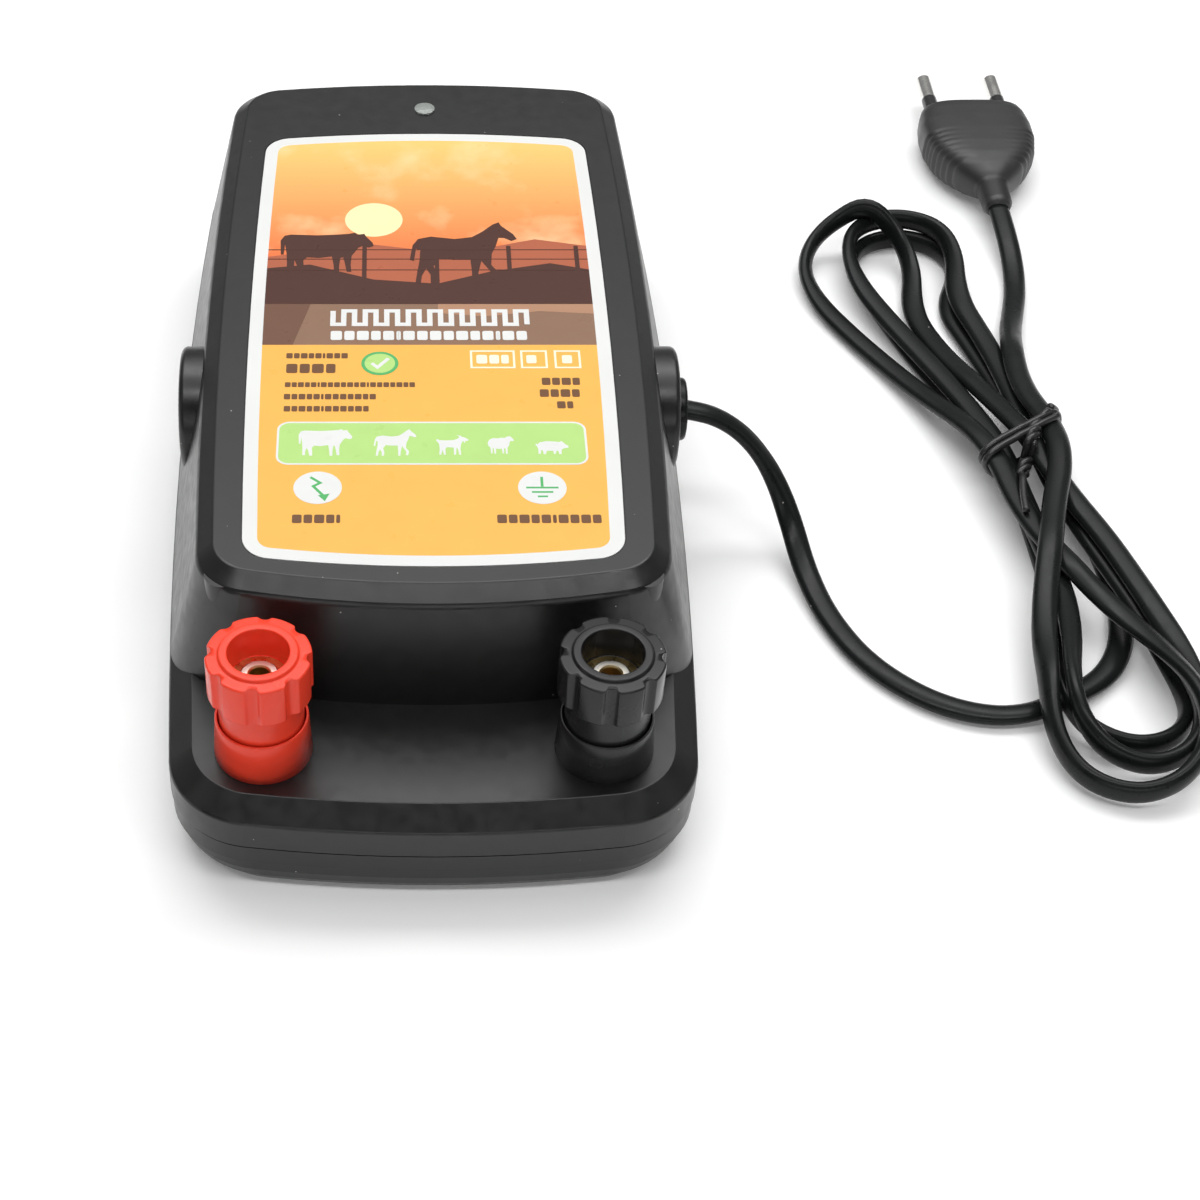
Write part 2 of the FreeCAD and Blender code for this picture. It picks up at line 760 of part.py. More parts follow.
def make_post_rings(colour, side):
    """Metal pieces of one post: knob insert, clamp washer, washer, nut and solder tag."""
    x, y = post_place(side)
    insert = ring_body(colour + "_knob_insert", "insert_bore_radius", "insert_radius", "insert_bottom", "insert_top")
    name_node(place(insert, x, y, "ledge_z"), colour + "_knob_insert")
    clamp = ring_body(colour + "_clamp_washer", "insert_bore_radius", "clamp_washer_radius",
                      "clamp_washer_bottom", "clamp_washer_bottom+clamp_washer_thickness")
    name_node(place(clamp, x, y, "ledge_z"), colour + "_clamp_washer")
    under = "ledge_z-ledge_wall"
    washer = ring_body(colour + "_post_washer", "stud_radius+0.1", "post_washer_radius",
                       "-post_washer_thickness", "0")
    name_node(place(washer, x, y, under), colour + "_post_washer")

    tag_plate = padded_body(colour + "_tag_plate", (
        ("-solder_tag_width/2-2", "-solder_tag_width/2-2"), ("solder_tag_width/2+2", "-solder_tag_width/2-2"),
        ("solder_tag_width/2+2", "solder_tag_width/2+2"), ("solder_tag_width/2-1", "solder_tag_width/2+4"),
        ("solder_tag_width/2-1", "solder_tag_length"), ("1-solder_tag_width/2", "solder_tag_length"),
        ("1-solder_tag_width/2", "solder_tag_width/2+4"), ("-solder_tag_width/2-2", "solder_tag_width/2+2"),
    ), "solder_tag_thickness")
    tag_hole = cylinder(colour + "_tag_hole", "stud_radius+0.1", "5", "0", "0", "-1")
    tag = cut(colour + "_tag_cut", tag_plate, tag_hole)
    tag_z = under + "-post_washer_thickness-solder_tag_thickness"
    name_node(place(tag, x, y, tag_z), colour + "_solder_tag")

    hexagon = []
    for corner in range(6):
        angle = math.radians(60.0 * corner + 30.0)
        across = "post_nut_flats/%.6f" % (2.0 * math.cos(math.radians(30.0)))
        hexagon.append(("%.6f*%s" % (math.cos(angle), across), "%.6f*%s" % (math.sin(angle), across)))
    blank = padded_body(colour + "_nut_blank", hexagon, "post_nut_height")
    bore = cylinder(colour + "_nut_bore", "stud_radius", "post_nut_height+2", "0", "0", "-1")
    nut = cut(colour + "_nut_cut", blank, bore)
    name_node(place(nut, x, y, tag_z + "-post_nut_height"), colour + "_post_nut")


# ---------------------------------------------------------------- electronics
BOARD_TOP = "board_z+board_thickness"


def make_circuit_board():
    plate = block("board_plate", "2*board_half_width", "board_back_y-board_front_y", "board_thickness",
                  "0", "(board_back_y+board_front_y)/2", "board_z")
    holes = [cylinder("board_hole_%d" % number, "board_hole_radius", "board_thickness+2", repr(x), repr(y),
                      "board_z-1") for number, (x, y) in enumerate(board_screw_places())]
    board = cut("board_cut", plate, group("board_holes", holes))
    return name_node(board, "circuit_board")


def make_transformer():
    """E-I core with two windows, a bobbin round the middle leg and the coil on it."""
    base = BOARD_TOP
    outer = block("core_block", "core_width", "core_depth", "core_height", "core_x", "core_y", base)
    window = "(core_width-core_leg)/2-core_side_leg"
    middle = "(core_leg+%s)/2" % window
    tall = "core_height-2*core_yoke"
    windows = [block("core_window_%d" % (side + 2), window, "core_depth+2", tall,
                     "core_x+%d*(%s)" % (side, middle), "core_y", base + "+core_yoke") for side in (-1, 1)]
    name_node(cut("core_cut", outer, group("core_windows", windows)), "transformer_core")

    leg_x = "core_leg+2*bobbin_wall"
    leg_y = "core_depth+2*bobbin_wall"
    wide_x = "core_leg+2*(%s)-2*coil_play" % window
    wide_y = "core_depth+2*(%s)-2*coil_play" % window
    tube = block("bobbin_tube", leg_x, leg_y, tall, "core_x", "core_y", base + "+core_yoke")
    flanges = [block("bobbin_flange_%d" % number, wide_x, wide_y, "bobbin_wall", "core_x", "core_y", height)
               for number, height in enumerate((base + "+core_yoke",
                                                base + "+core_height-core_yoke-bobbin_wall"))]
    leg = block("bobbin_hole", "core_leg", "core_depth", "core_height", "core_x", "core_y", base)
    name_node(cut("bobbin_cut", fuse("bobbin_solid", [tube] + flanges), leg), "transformer_bobbin")

    coil = block("coil_block", wide_x + "-1", wide_y + "-1", tall + "-2*bobbin_wall", "core_x", "core_y",
                 base + "+core_yoke+bobbin_wall")
    inner = block("coil_hole", leg_x, leg_y, tall, "core_x", "core_y", base + "+core_yoke")
    name_node(cut("coil_cut", coil, inner), "transformer_coil")


def make_storage_capacitor():
    body = padded_body("storage_capacitor", rectangle("capacitor_length/2", "capacitor_width/2"),
                       "capacitor_height")
    pad = body.Tip
    rounded = body.newObject("PartDesign::Fillet", "capacitor_edges")
    rounded.Base = (pad, ["Edge%d" % (number + 1) for number, edge in enumerate(pad.Shape.Edges)
                          if edge.CenterOfMass.z > 0.1])
    bind(rounded, "Radius", "capacitor_edge")
    document.recompute()
    return name_node(place(body, "capacitor_x", "capacitor_y", BOARD_TOP), "storage_capacitor")


def make_resistors():
    """Ceramic power resistors, each standing off the board on its two legs."""
    resistors = []
    for number, (x, y) in enumerate(POWER_RESISTORS):
        brick = block("resistor_brick_%d" % number, "resistor_side", "resistor_length/2", "resistor_length",
                      repr(x), repr(y), BOARD_TOP + "+resistor_stand")
        legs = [cylinder("resistor_leg_%d_%d" % (number, side + 1), "resistor_leg_radius", "resistor_stand",
                         repr(x), "%r+%d*resistor_leg_spread" % (y, side), BOARD_TOP) for side in (-1, 1)]
        resistors.append(fuse("resistor_%d" % number, [brick] + legs))
    name_node(group("resistor_set", resistors), "charge_resistors")


def make_diodes():
    """Rectifier diodes lying along X, each on its two legs."""
    diodes = []
    leg_offset = "(diode_length/2-0.1)"
    for number, (x, y) in enumerate(DIODES):
        barrel = cylinder("diode_barrel_%d" % number, "diode_radius", "diode_length", "%r-diode_length/2" % x,
                          repr(y), BOARD_TOP + "+diode_radius+diode_stand", LYING_X)
        legs = [block("diode_leg_%d_%d" % (number, side + 1), "diode_leg", "diode_leg", "diode_leg_height",
                      "%r+%d*%s" % (x, side, leg_offset), repr(y), BOARD_TOP) for side in (-1, 1)]
        diodes.append(fuse("diode_%d" % number, [barrel] + legs))
    name_node(group("diode_set", diodes), "rectifier_diodes")


def make_smoothing_capacitors():
    cans = [cylinder("can_%d" % number, "can_radius", "can_height", repr(x), repr(y), BOARD_TOP)
            for number, (x, y) in enumerate(SMALL_CAPACITORS)]
    name_node(group("can_set", cans), "smoothing_capacitors")


def make_timing_chip():
    """Eight-legged chip that times the pulses."""
    chip = block("chip_body", "chip_length", "chip_width", "chip_height-chip_stand", "chip_x", "chip_y",
                 BOARD_TOP + "+chip_stand")
    feet = []
    row = CHIP_FEET // 2
    for number in range(CHIP_FEET):
        side = 1 if number < row else -1
        feet.append(block("chip_foot_%d" % number, "chip_foot_width", "chip_foot_length", "chip_foot_height",
                          "chip_x+%r*chip_pitch" % (number % row - (row - 1) / 2),
                          "chip_y+%d*(chip_width+chip_foot_length-0.4)/2" % side, BOARD_TOP))
    name_node(fuse("chip_solid", [chip] + feet), "timing_chip")


def make_thyristor():
    """Pulse thyristor standing with its tab against a finned heat sink."""
    sink_base = block("sink_plate", "sink_base", "sink_width", "sink_height", "sink_x", "sink_y", BOARD_TOP)
    fin_step = "(sink_width-fin_thickness-1.2)/%d" % (FIN_COUNT - 1)
    fins = [block("sink_fin_%d" % number, "fin_length", "fin_thickness", "sink_height",
                  "sink_x-sink_base/2-fin_length/2+0.15", "sink_y+%r*%s" % (number - (FIN_COUNT - 1) / 2, fin_step),
                  BOARD_TOP) for number in range(FIN_COUNT)]
    name_node(fuse("sink_solid", [sink_base] + fins), "thyristor_heat_sink")
    foot = BOARD_TOP + "+thyristor_stand"
    tab_x = "sink_x+(sink_base+tab_thickness)/2"
    mould_x = tab_x + "+tab_thickness/2+mould_proud"
    tab = block("thyristor_tab", "tab_thickness", "thyristor_width", "tab_height", tab_x, "sink_y", foot)
    mould = block("thyristor_mould", "mould_thickness", "thyristor_width", "mould_height", mould_x, "sink_y", foot)
    pins = [block("thyristor_pin_%d" % (side + 1), "thyristor_pin_thickness", "thyristor_pin_width",
                  "thyristor_stand+0.2", mould_x, "sink_y+%d*chip_pitch" % side, BOARD_TOP) for side in (-1, 0, 1)]
    name_node(fuse("thyristor_solid", [tab, mould] + pins), "thyristor")


def make_fuse():
    """Glass cartridge fuse held in two clips."""
    axis_z = BOARD_TOP + "+fuse_axis_height"
    tube = cylinder("fuse_tube", "fuse_radius", "fuse_length", "fuse_x", "fuse_y-fuse_length/2", axis_z, LYING_Y)
    name_node(tube, "mains_fuse")
    clips = []
    for side in (-1, 1):
        clip_y = "fuse_y+%d*clip_spread" % side
        clip = block("fuse_clip_block_%d" % (side + 1), "clip_width", "clip_length",
                     "fuse_axis_height+clip_above_axis", "fuse_x", clip_y, BOARD_TOP)
        bore = cylinder("fuse_clip_bore_%d" % (side + 1), "fuse_radius", "2*clip_length", "fuse_x",
                        clip_y + "-clip_length", axis_z, LYING_Y)
        clips.append(cut("fuse_clip_%d" % (side + 1), clip, bore))
    name_node(group("fuse_clip_set", clips), "fuse_clips")


def make_terminals():
    """Two-way terminal block for the mains conductors, entered from its outer side."""
    housing = block("terminal_body", "terminal_depth", "terminal_width", "terminal_height", "terminal_x",
                    "terminal_y", BOARD_TOP)
    mouth = "terminal_x+terminal_depth/2-terminal_hole_depth"
    holes = [cylinder("terminal_hole_%d" % (side + 1), "terminal_hole_radius", "terminal_hole_depth+1", mouth,
                      "terminal_y+%d*terminal_pitch/2" % side, BOARD_TOP + "+terminal_hole_height", LYING_X)
             for side in (-1, 1)]
    name_node(cut("terminal_cut", housing, group("terminal_holes", holes)), "mains_terminal_block")


def make_indicator():
    """Pulse lamp on the board and the clear pipe that carries its light through the front."""
    lamp = revolved_body("pulse_led", (
        ("0", "0"), ("led_radius+0.4", "0"), ("led_radius+0.4", "1"), ("led_radius", "1"),
        ("led_radius", "led_height-1.5"), ("led_radius-0.8", "led_height-0.4"), ("0", "led_height")))
    name_node(place(lamp, "0", "led_y", BOARD_TOP), "pulse_led")
    foot = "led_height+light_pipe_gap"
    front = "front_z-board_z-board_thickness"
    pipe = revolved_body("light_pipe", (
        ("0", foot), ("light_pipe_radius", foot), ("light_pipe_radius", front + "+light_pipe_proud/2"),
        ("light_pipe_radius/2", front + "+light_pipe_proud*0.9"), ("0", front + "+light_pipe_proud")))
    name_node(place(pipe, "0", "led_y", BOARD_TOP), "light_pipe")


# ---------------------------------------------------------------- cords and wires
def rounded_path(points, name):
    """Straight runs joined by tangent arcs, each as large as its two runs allow."""
    corners = [Vector(*point) for point in points]
    edges = []
    start = corners[0]
    radii = []
    for before, corner, after in zip(corners, corners[1:], corners[2:]):
        back = (before - corner).normalize()
        ahead = (after - corner).normalize()
        half_turn = (math.pi - back.getAngle(ahead)) / 2
        reach = 0.45 * min(before.distanceToPoint(corner), after.distanceToPoint(corner))
        radius = reach / math.tan(half_turn)
        radii.append(round(radius, 1))
        enter = corner + back * reach
        leave = corner + ahead * reach
        centre = corner + (back + ahead).normalize() * (radius / math.cos(half_turn))
        middle = centre + (corner - centre).normalize() * radius
        edges.append(Part.LineSegment(start, enter).toShape())
        edges.append(Part.Arc(enter, middle, leave).toShape())
        start = leave
    edges.append(Part.LineSegment(start, corners[-1]).toShape())
    path = Part.Wire(edges)
    print(name, "radii", radii, "length", round(path.Length, 1))
    return path


def tube_along(label, points, radius):
    """Round tube whose centre follows the rounded path through the points."""
    path = rounded_path(points, label)
    direction = Vector(*points[1]) - Vector(*points[0])
    ring = Part.Wire(Part.makeCircle(radius, Vector(*points[0]), direction))
    solid = path.makePipeShell([ring], True, False, 1)
    ideal = math.pi * radius ** 2 * path.Length
    if abs(solid.Volume / ideal - 1) > 0.01:
        raise ValueError("%s volume %.1f, expected %.1f" % (label, solid.Volume, ideal))
    return name_node(shaped(label, solid), label)


def make_inner_wires():
    """Insulated wires inside the case, from the posts to the coil and from the lead to its terminals."""
    radius = size("wire_radius")
    tag_z = size("ledge_z-ledge_wall-post_washer_thickness-solder_tag_thickness") - radius
    post_x = size("post_x")
    tag_y = size("post_y+solder_tag_length") - 2.0
    coil_front = size("core_y-core_depth/2-(core_width-core_leg)/2+core_side_leg")
    tube_along("fence_wire", (
        (-post_x, tag_y, tag_z), (0.6 - post_x, tag_y + 8.0, tag_z + 0.5), (-post_x - 1.0, tag_y + 24.0, 24.0),
        (-post_x - 0.5, tag_y + 44.0, 31.0), (-post_x - 1.5, -6.0, 34.0), (-post_x + 0.5, 10.0, 34.5),
        (-25.0, coil_front - 6.0, 33.0), (-16.0, coil_front + 2.5, 31.0)), radius)
    tube_along("earth_wire", (
        (post_x, tag_y, tag_z), (post_x + 1.0, tag_y + 8.0, tag_z + 0.4), (post_x + 4.0, tag_y + 22.0, 23.0),
        (post_x + 4.7, tag_y + 40.0, 27.5), (post_x + 4.0, -16.0, 32.5), (post_x + 2.0, -3.0, 39.5),
        (25.0, 6.0, 44.6), (13.0, 15.0, 45.0), (4.5, coil_front - 2.0, 42.6),
        (3.0, coil_front + 2.5, 36.0)), radius)
    entry_x = size("pad_face_x-bushing_inside_length")
    for name, lean, target in (("live_conductor", -1.3, 6.4), ("neutral_conductor", 1.3, 11.6)):
        y = size("pad_y") + lean
        tube_along(name, (
            (entry_x, y, 33.0), (entry_x - 4.0, y + 0.4, 32.6), (entry_x - 8.5, y + 3.5 + lean, 27.0),
            (entry_x - 10.0, target - 1.5 + lean, 18.5), (30.0, target, 15.2)), radius)


def smooth_outline(points, turn):
    """Closed polygon outline with every corner rounded by the same set-back."""
    corners = [Vector(x, y, 0) for x, y in points]
    count = len(corners)
    entries = []
    for index, corner in enumerate(corners):
        before = corners[index - 1]
        after = corners[(index + 1) % count]
        reach = min(turn, 0.45 * min(before.distanceToPoint(corner), after.distanceToPoint(corner)))
        back = (before - corner).normalize()
        ahead = (after - corner).normalize()
        half_turn = (math.pi - back.getAngle(ahead)) / 2
        radius = reach / math.tan(half_turn)
        centre = corner + (back + ahead).normalize() * (radius / math.cos(half_turn))
        middle = centre + (corner - centre).normalize() * radius
        entries.append((corner + back * reach, middle, corner + ahead * reach))
    edges = []
    for index, (enter, middle, leave) in enumerate(entries):
        edges.append(arc_edge(enter, middle, leave))
        edges.append(Part.LineSegment(leave, entries[(index + 1) % count][0]).toShape())
    return Part.Wire(edges)


def make_lead():
    """Loose lead, the hank it is folded into, the tie round the hank's waist and the tail to the plug."""
    radius = size("lead_radius")
    tube_along("mains_lead", LEAD_ROUTE, radius)
    tube_along("plug_tail", TAIL_ROUTE, radius)
    height = size("hank_height")
    outline = smooth_outline(HANK_OUTLINE, size("hank_turn"))
    hank = prism(outline, height)
    name_node(shaped("lead_hank", hank), "lead_hank")

    wall = size("tie_wall")
    around = prism(outline.makeOffset2D(wall), height + wall)
    width = size("tie_width")
    slab = Part.makeBox(60.0, width, 60.0, Vector(-30.0, -width / 2, -10.0))
    slab.Placement = Placement(Vector(*HANK_WAIST, 0), Rotation(Vector(0, 0, 1), size("tie_angle")))
    tie = around.common(slab).cut(hank)
    name_node(shaped("hank_tie", tie), "hank_tie")


def make_plug():
    """Flat two-pin plug lying on its broad face, neck towards the lead."""
    body = padded_body("plug_blank", (
        ("-plug_width*0.16", "0"), ("plug_width*0.16", "0"), ("plug_width*0.36", "plug_length*0.3"),
        ("plug_width*0.5", "plug_length*0.62"), ("plug_width*0.45", "plug_length"),
        ("-plug_width*0.45", "plug_length"), ("-plug_width*0.5", "plug_length*0.62"),
        ("-plug_width*0.36", "plug_length*0.3")), "plug_height")
    neck = cylinder("plug_neck", "plug_neck_radius", "plug_neck_length", "0", "0.5", "plug_height/2",
                    LYING_MINUS_Y)
    solid = fuse("plug_solid", [body, neck])
    name_node(place(solid, "plug_x", "plug_y", "0"), "plug_body")
    pins = []
    for side in (-1, 1):
        pins.append(cylinder("pin_%d" % (side + 1), "pin_radius", "pin_length",
                             "plug_x+%d*pin_spacing/2" % side, "plug_y+plug_length", "plug_height/2",
                             LYING_Y))
    name_node(group("pin_set", pins), "plug_pins")


def make_bushing():
    """Bushing moulded on to the lead: disc outside the wall, barbed barrel inside."""
    body = revolved_body("cord_bushing", (
        ("0", "-bushing_inside_length"), ("bushing_barb_radius-1.2", "-bushing_inside_length"),
        ("bushing_barb_radius", "-pad_wall-1.5"), ("bushing_barb_radius", "-pad_wall"),
        ("bushing_hole_radius", "-pad_wall"), ("bushing_hole_radius", "0"), ("bushing_disc_radius", "0"),
        ("bushing_disc_radius", "bushing_disc_length-0.8"), ("bushing_nose_radius", "bushing_disc_length"),
        ("0", "bushing_disc_length")))
    place(body, "pad_face_x", "pad_y", "pad_z", LYING_X)
    return name_node(body, "cord_bushing")


# ---------------------------------------------------------------- build and export
def make_everything():
    make_front_housing()
    make_rear_cover()
    make_housing_seal()
    make_front_label()
    make_screws("case_screws", list(screw_places()), "case_screw", "counterbore_depth-case_screw_head_height", False)
    for colour, side in (("red", -1), ("black", 1)):
        make_collar(colour, side)
        make_stud(colour, side)
        make_knob(colour, side)
        make_post_rings(colour, side)
    make_circuit_board()
    make_screws("board_screws", list(board_screw_places()), "board_screw",
                BOARD_TOP + "+board_screw_head_height", True)
    make_transformer()
    make_storage_capacitor()
    make_resistors()
    make_diodes()
    make_smoothing_capacitors()
    make_timing_chip()
    make_thyristor()
    make_fuse()
    make_terminals()
    make_indicator()
    make_inner_wires()
    make_bushing()
    make_lead()
    make_plug()


def check_document():
    for item in document.Objects:
        if "Invalid" in item.State or "Error" in item.State:
            raise RuntimeError("%s: %s" % (item.Name, item.State))
    for node in nodes:
        if node.Shape.isNull() or not node.Shape.isValid():
            raise RuntimeError("bad shape: " + node.Label)


def export_nodes():
    os.makedirs("parts", exist_ok=True)
    for node in nodes:
        node.Shape.exportStep("parts/%s.step" % node.Label)
        box = node.Shape.optimalBoundingBox()
        print("%-24s solids %d volume %9.1f  x %.1f..%.1f y %.1f..%.1f z %.1f..%.1f" % (
            node.Label, len(node.Shape.Solids), node.Shape.Volume,
            box.XMin, box.XMax, box.YMin, box.YMax, box.ZMin, box.ZMax))


fill_sheet()
make_everything()
document.recompute()
check_document()
export_nodes()
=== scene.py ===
"""Looks of the fence energizer: case, posts, printed label, mains lead with its tied hank, and plug."""

import json
import math

import bmesh
import bpy
import numpy as np
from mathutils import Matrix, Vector


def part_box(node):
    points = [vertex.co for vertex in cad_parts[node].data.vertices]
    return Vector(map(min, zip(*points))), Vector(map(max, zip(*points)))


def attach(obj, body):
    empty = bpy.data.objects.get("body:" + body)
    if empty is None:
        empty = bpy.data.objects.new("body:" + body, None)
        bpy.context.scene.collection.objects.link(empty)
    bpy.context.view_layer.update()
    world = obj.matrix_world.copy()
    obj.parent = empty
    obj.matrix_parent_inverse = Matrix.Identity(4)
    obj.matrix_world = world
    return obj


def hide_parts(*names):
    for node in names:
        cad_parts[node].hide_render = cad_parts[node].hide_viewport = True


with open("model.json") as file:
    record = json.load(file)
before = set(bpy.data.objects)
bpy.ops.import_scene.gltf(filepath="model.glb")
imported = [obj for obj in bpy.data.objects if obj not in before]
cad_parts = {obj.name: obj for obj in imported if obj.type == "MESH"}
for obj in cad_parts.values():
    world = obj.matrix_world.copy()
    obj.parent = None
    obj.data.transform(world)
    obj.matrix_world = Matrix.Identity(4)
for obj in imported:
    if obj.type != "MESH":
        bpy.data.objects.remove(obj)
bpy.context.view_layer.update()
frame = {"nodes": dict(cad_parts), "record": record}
nodes = frame["nodes"]
MM = 0.001

# ---------------------------------------------------------------- sizes, in millimetres and degrees
CORD_WIDTH = 5.4
CORD_THICKNESS = 3.4
CORD_EXIT = (55.4, -2.8, 33.5)
CORD_START = (54.2, -2.8, 33.6)

LEAD_ROUTE = (
    CORD_EXIT, (62.8, -2.9, 31.6), (70.2, -3.5, 25.8), (76.4, -5.7, 17.0), (80.5, -11.0, 8.2),
    (82.8, -21.7, 3.1), (86.3, -35.7, 1.8), (93.4, -50.2, 1.8), (106.4, -61.6, 1.8), (121.0, -64.7, 1.8),
    (134.2, -58.6, 1.8), (145.0, -50.5, 1.8), (150.5, -35.0, 1.8), (149.5, -12.0, 1.8),
)
# Each turn of the hank: points up from the waist, top fold (centre and radius), points down through the
# waist, bottom fold (centre, radius and which way round), points up to the next turn.
HANK_TURNS = (
    (((144.0, 14.0), (140.0, 30.0), (137.6, 45.0), (134.2, 60.0), (130.6, 74.0)),
     (122.5, 90.0, 14.0),
     ((113.2, 76.0), (118.8, 58.0), (124.6, 42.0), (130.6, 27.0), (134.6, 13.0), (136.0, -5.0),
      (136.4, -22.0), (135.6, -40.0)),
     (144.0, -60.0, 14.2, 1),
     ((155.0, -44.0), (150.5, -28.0), (146.0, -12.0), (142.6, 2.0))),
    (((140.8, 16.0), (139.6, 30.0), (138.6, 44.0), (136.4, 58.0), (132.4, 74.0)),
     (121.4, 92.0, 13.8),
     ((109.2, 79.0), (113.2, 68.0), (119.2, 54.0), (124.8, 40.0), (129.4, 26.0), (132.6, 12.0), (134.6, -6.0),
      (136.4, -22.0), (136.2, -42.0)),
     (144.6, -66.0, 14.2, 1),
     ((157.0, -50.0), (153.0, -34.0), (148.6, -17.0), (143.0, -2.0))),
    (((138.6, 14.0), (134.4, 28.0), (129.6, 42.0), (125.0, 57.0), (121.6, 72.0)),
     (110.6, 89.5, 14.0),
     ((99.4, 76.0), (105.6, 63.4), (112.9, 50.0), (119.6, 36.0), (125.4, 22.0), (129.8, 8.0), (131.2, -4.0),
      (133.8, -15.0), (138.4, -27.0), (145.8, -39.0), (153.4, -53.0)),
     (142.0, -72.0, 15.6, -1),
     ((127.6, -57.0), (129.8, -43.0), (133.6, -27.0), (138.2, -10.0), (142.8, 4.0))),
)
TAIL_ROUTE = (
    (143.6, 18.0, 1.8), (140.4, 32.0, 1.8), (140.6, 46.0, 1.8), (143.4, 60.0, 1.8), (147.0, 72.0, 1.8),
    (149.6, 81.5, 1.8), (150.9, 91.3, 2.6), (150.5, 101.0, 5.6), (150.0, 112.0, 6.9),
)
FOLD_ANGLES = (0.0, 45.0, 90.0, 135.0, 180.0)
HANK_WAIST = (138.2, 16.0)
TIE_ANGLE = 33.0
TIE_WIRE = 0.85
TIE_LIFT = 2.0
HANK_START_X = 128.0
PLUG_APPROACH = 30.0
SECTION_POINTS = 24
SPLINE_STEPS = 8
SPLINE_MERGE = 0.05
FOLD_WIDTH = 3.0
FOLD_SHARE = 0.4
FOLD_EASING = 60
STACK_PASSES = 60
STACK_APART = 30.0
WAIST_SPREAD = 16.0

POST_X = 32.7
POST_Y = -91.3
LEDGE_Z = 22.8
FLUTE_COUNT = 8
FLUTE_PHASE = -5.0
FLUTE_RADIUS = 1.7
FLUTE_CENTRE = 10.7
KNOB_GRIP_FROM = 8.3
# Profiles of collar and knob: radius, height above the ledge, rounding. The knob clears its washer by 0.05.
COLLAR_PROFILE = (
    (9.5, 0.0, 0.0), (8.95, 9.5, 0.45), (8.45, 9.5, 0.2), (8.45, 5.3, 0.3), (4.0, 5.3, 0.2), (4.0, 0.0, 0.0),
)
KNOB_PROFILE = (
    (8.15, 6.45, 0.5), (8.15, 16.5, 0.5), (10.0, 16.5, 0.5), (10.0, 25.7, 0.55), (7.6, 25.7, 0.3),
    (7.4, 26.4, 0.35), (5.8, 26.4, 0.35), (5.8, 19.4, 0.3), (5.6, 19.4, 0.0), (5.6, 9.4, 0.1),
    (4.2, 9.4, 0.1), (4.2, 6.45, 0.2),
)
COLLAR_STEPS = 128
KNOB_STEPS = 256
CORNER_STEPS = 5
PAD_FACE_X = 53.1
PAD_Y = -2.8
PAD_Z = 33.5
BUSHING_STEPS = 96
# Profile of the bushing: radius, how far it stands out of the pad, rounding.
BUSHING_PROFILE = (
    (1.5, -7.1, 0.0), (5.2, -7.1, 0.0), (5.2, 0.0, 0.0), (6.8, 0.0, 0.2), (6.8, 2.3, 0.9), (4.1, 2.3, 0.3),
    (3.5, 1.9, 0.3), (1.5, 1.9, 0.0),
)
PLUG_X = 150.0
PLUG_Z = 6.9
PLUG_FIRST_Y = 110.5
PLUG_LAST_Y = 153.0
PLUG_STEPS = 64
# Stations of the plug: three rows, y, half its width and half its height.
PLUG_STATIONS = (
    (110.5, 111.2, 119.0, 121.0, 124.0, 128.0, 133.0, 139.0, 145.0, 150.0, 152.2, 153.0),
    (3.0, 3.5, 3.8, 5.6, 8.4, 11.2, 13.6, 14.8, 14.9, 14.3, 13.6, 12.6),
    (2.6, 3.1, 3.6, 4.6, 5.6, 6.3, 6.7, 6.88, 6.9, 6.85, 6.6, 5.8),
)
PLUG_SLICE = 0.4
PLUG_SQUARE_SPAN = (119.0, 130.0)
PLUG_SQUARE = (2.0, 3.4)
RIB_SPAN = (111.5, 119.5)
RIB_PITCH = 0.8
RIB_HEIGHT = 0.35
GRIP_SPAN = (125.0, 139.0)
GRIP_PITCH = 2.0
GRIP_DEPTH = 0.55
PIN_SLEEVE_END = 162.0
TIE_TURN_POINTS = 24
HULL_STEPS = 41
HULL_SPREAD = 0.98 * math.pi
TIE_TURNS = 2
TIE_FIRST = 0.6
TIE_PITCH = 2.2 * TIE_WIRE
TIE_SLICE = 1.3
TIE_REACH = 20.0
TIE_SIDES = 12
CORD_REACH = 3.0
TIE_TWIST_START = (139.5, 16.5)
TIE_TWIST_END = (134.2, 2.5)
TIE_TWIST_POINTS = 25
TIE_TWIST_TURNS = 3.0
TIE_ENDS = (
    ((134.2, 3.6), (133.4, 0.0), (132.6, -4.0), (132.0, -8.0), (131.8, -12.0)),
    ((139.0, 15.5), (141.2, 18.5), (143.6, 20.2), (146.2, 20.0), (147.6, 17.4)),
)

LABEL_MARGIN = 2.9
LABEL_ROUGHNESS = 0.32
BAND_LOW = -1.5
BAND_HIGH = 12.7
INK_LAYER = 0.012
# Printed blocks, in shares of their height.
BLOCK_WIDTHS = (0.78, 0.70, 0.82, 0.66, 0.76, 0.30, 0.80, 0.72)
BLOCK_LEAST = 0.3
BLOCK_GAP = 0.16
WORD_GAP = 0.5
FIELD_HALF_WIDTH = 60.0
FIELD_END = 100.0
FENCE_POSTS = (-30.0, -14.0, 2.0, 18.0, 33.0)
FENCE_WIRES = (25.0, 29.0, 32.5)
PULSE_STEPS = 19
PULSE_START = -20.6
PULSE_PITCH = 2.31
PULSE_LOW = 5.5
PULSE_HIGH = 10.2

# ---------------------------------------------------------------- camera and lamps, in metres and degrees
CAMERA_PLACE = (-0.0088, -0.3839, 0.350)
CAMERA_TILT = 45.5
CAMERA_LENS = 68.4
CAMERA_SENSOR = 36.0
CAMERA_SHIFT = 0.1767
FLOOR_HALF = 0.5
FLOOR_DROP = 0.0002
# Stops of the world's ramp from front to rear: place and grey.
WORLD_FRONT = (0.30, 0.03)
WORLD_REAR = (0.75, 0.24)
WHITE = (1.0, 1.0, 1.0, 1.0)
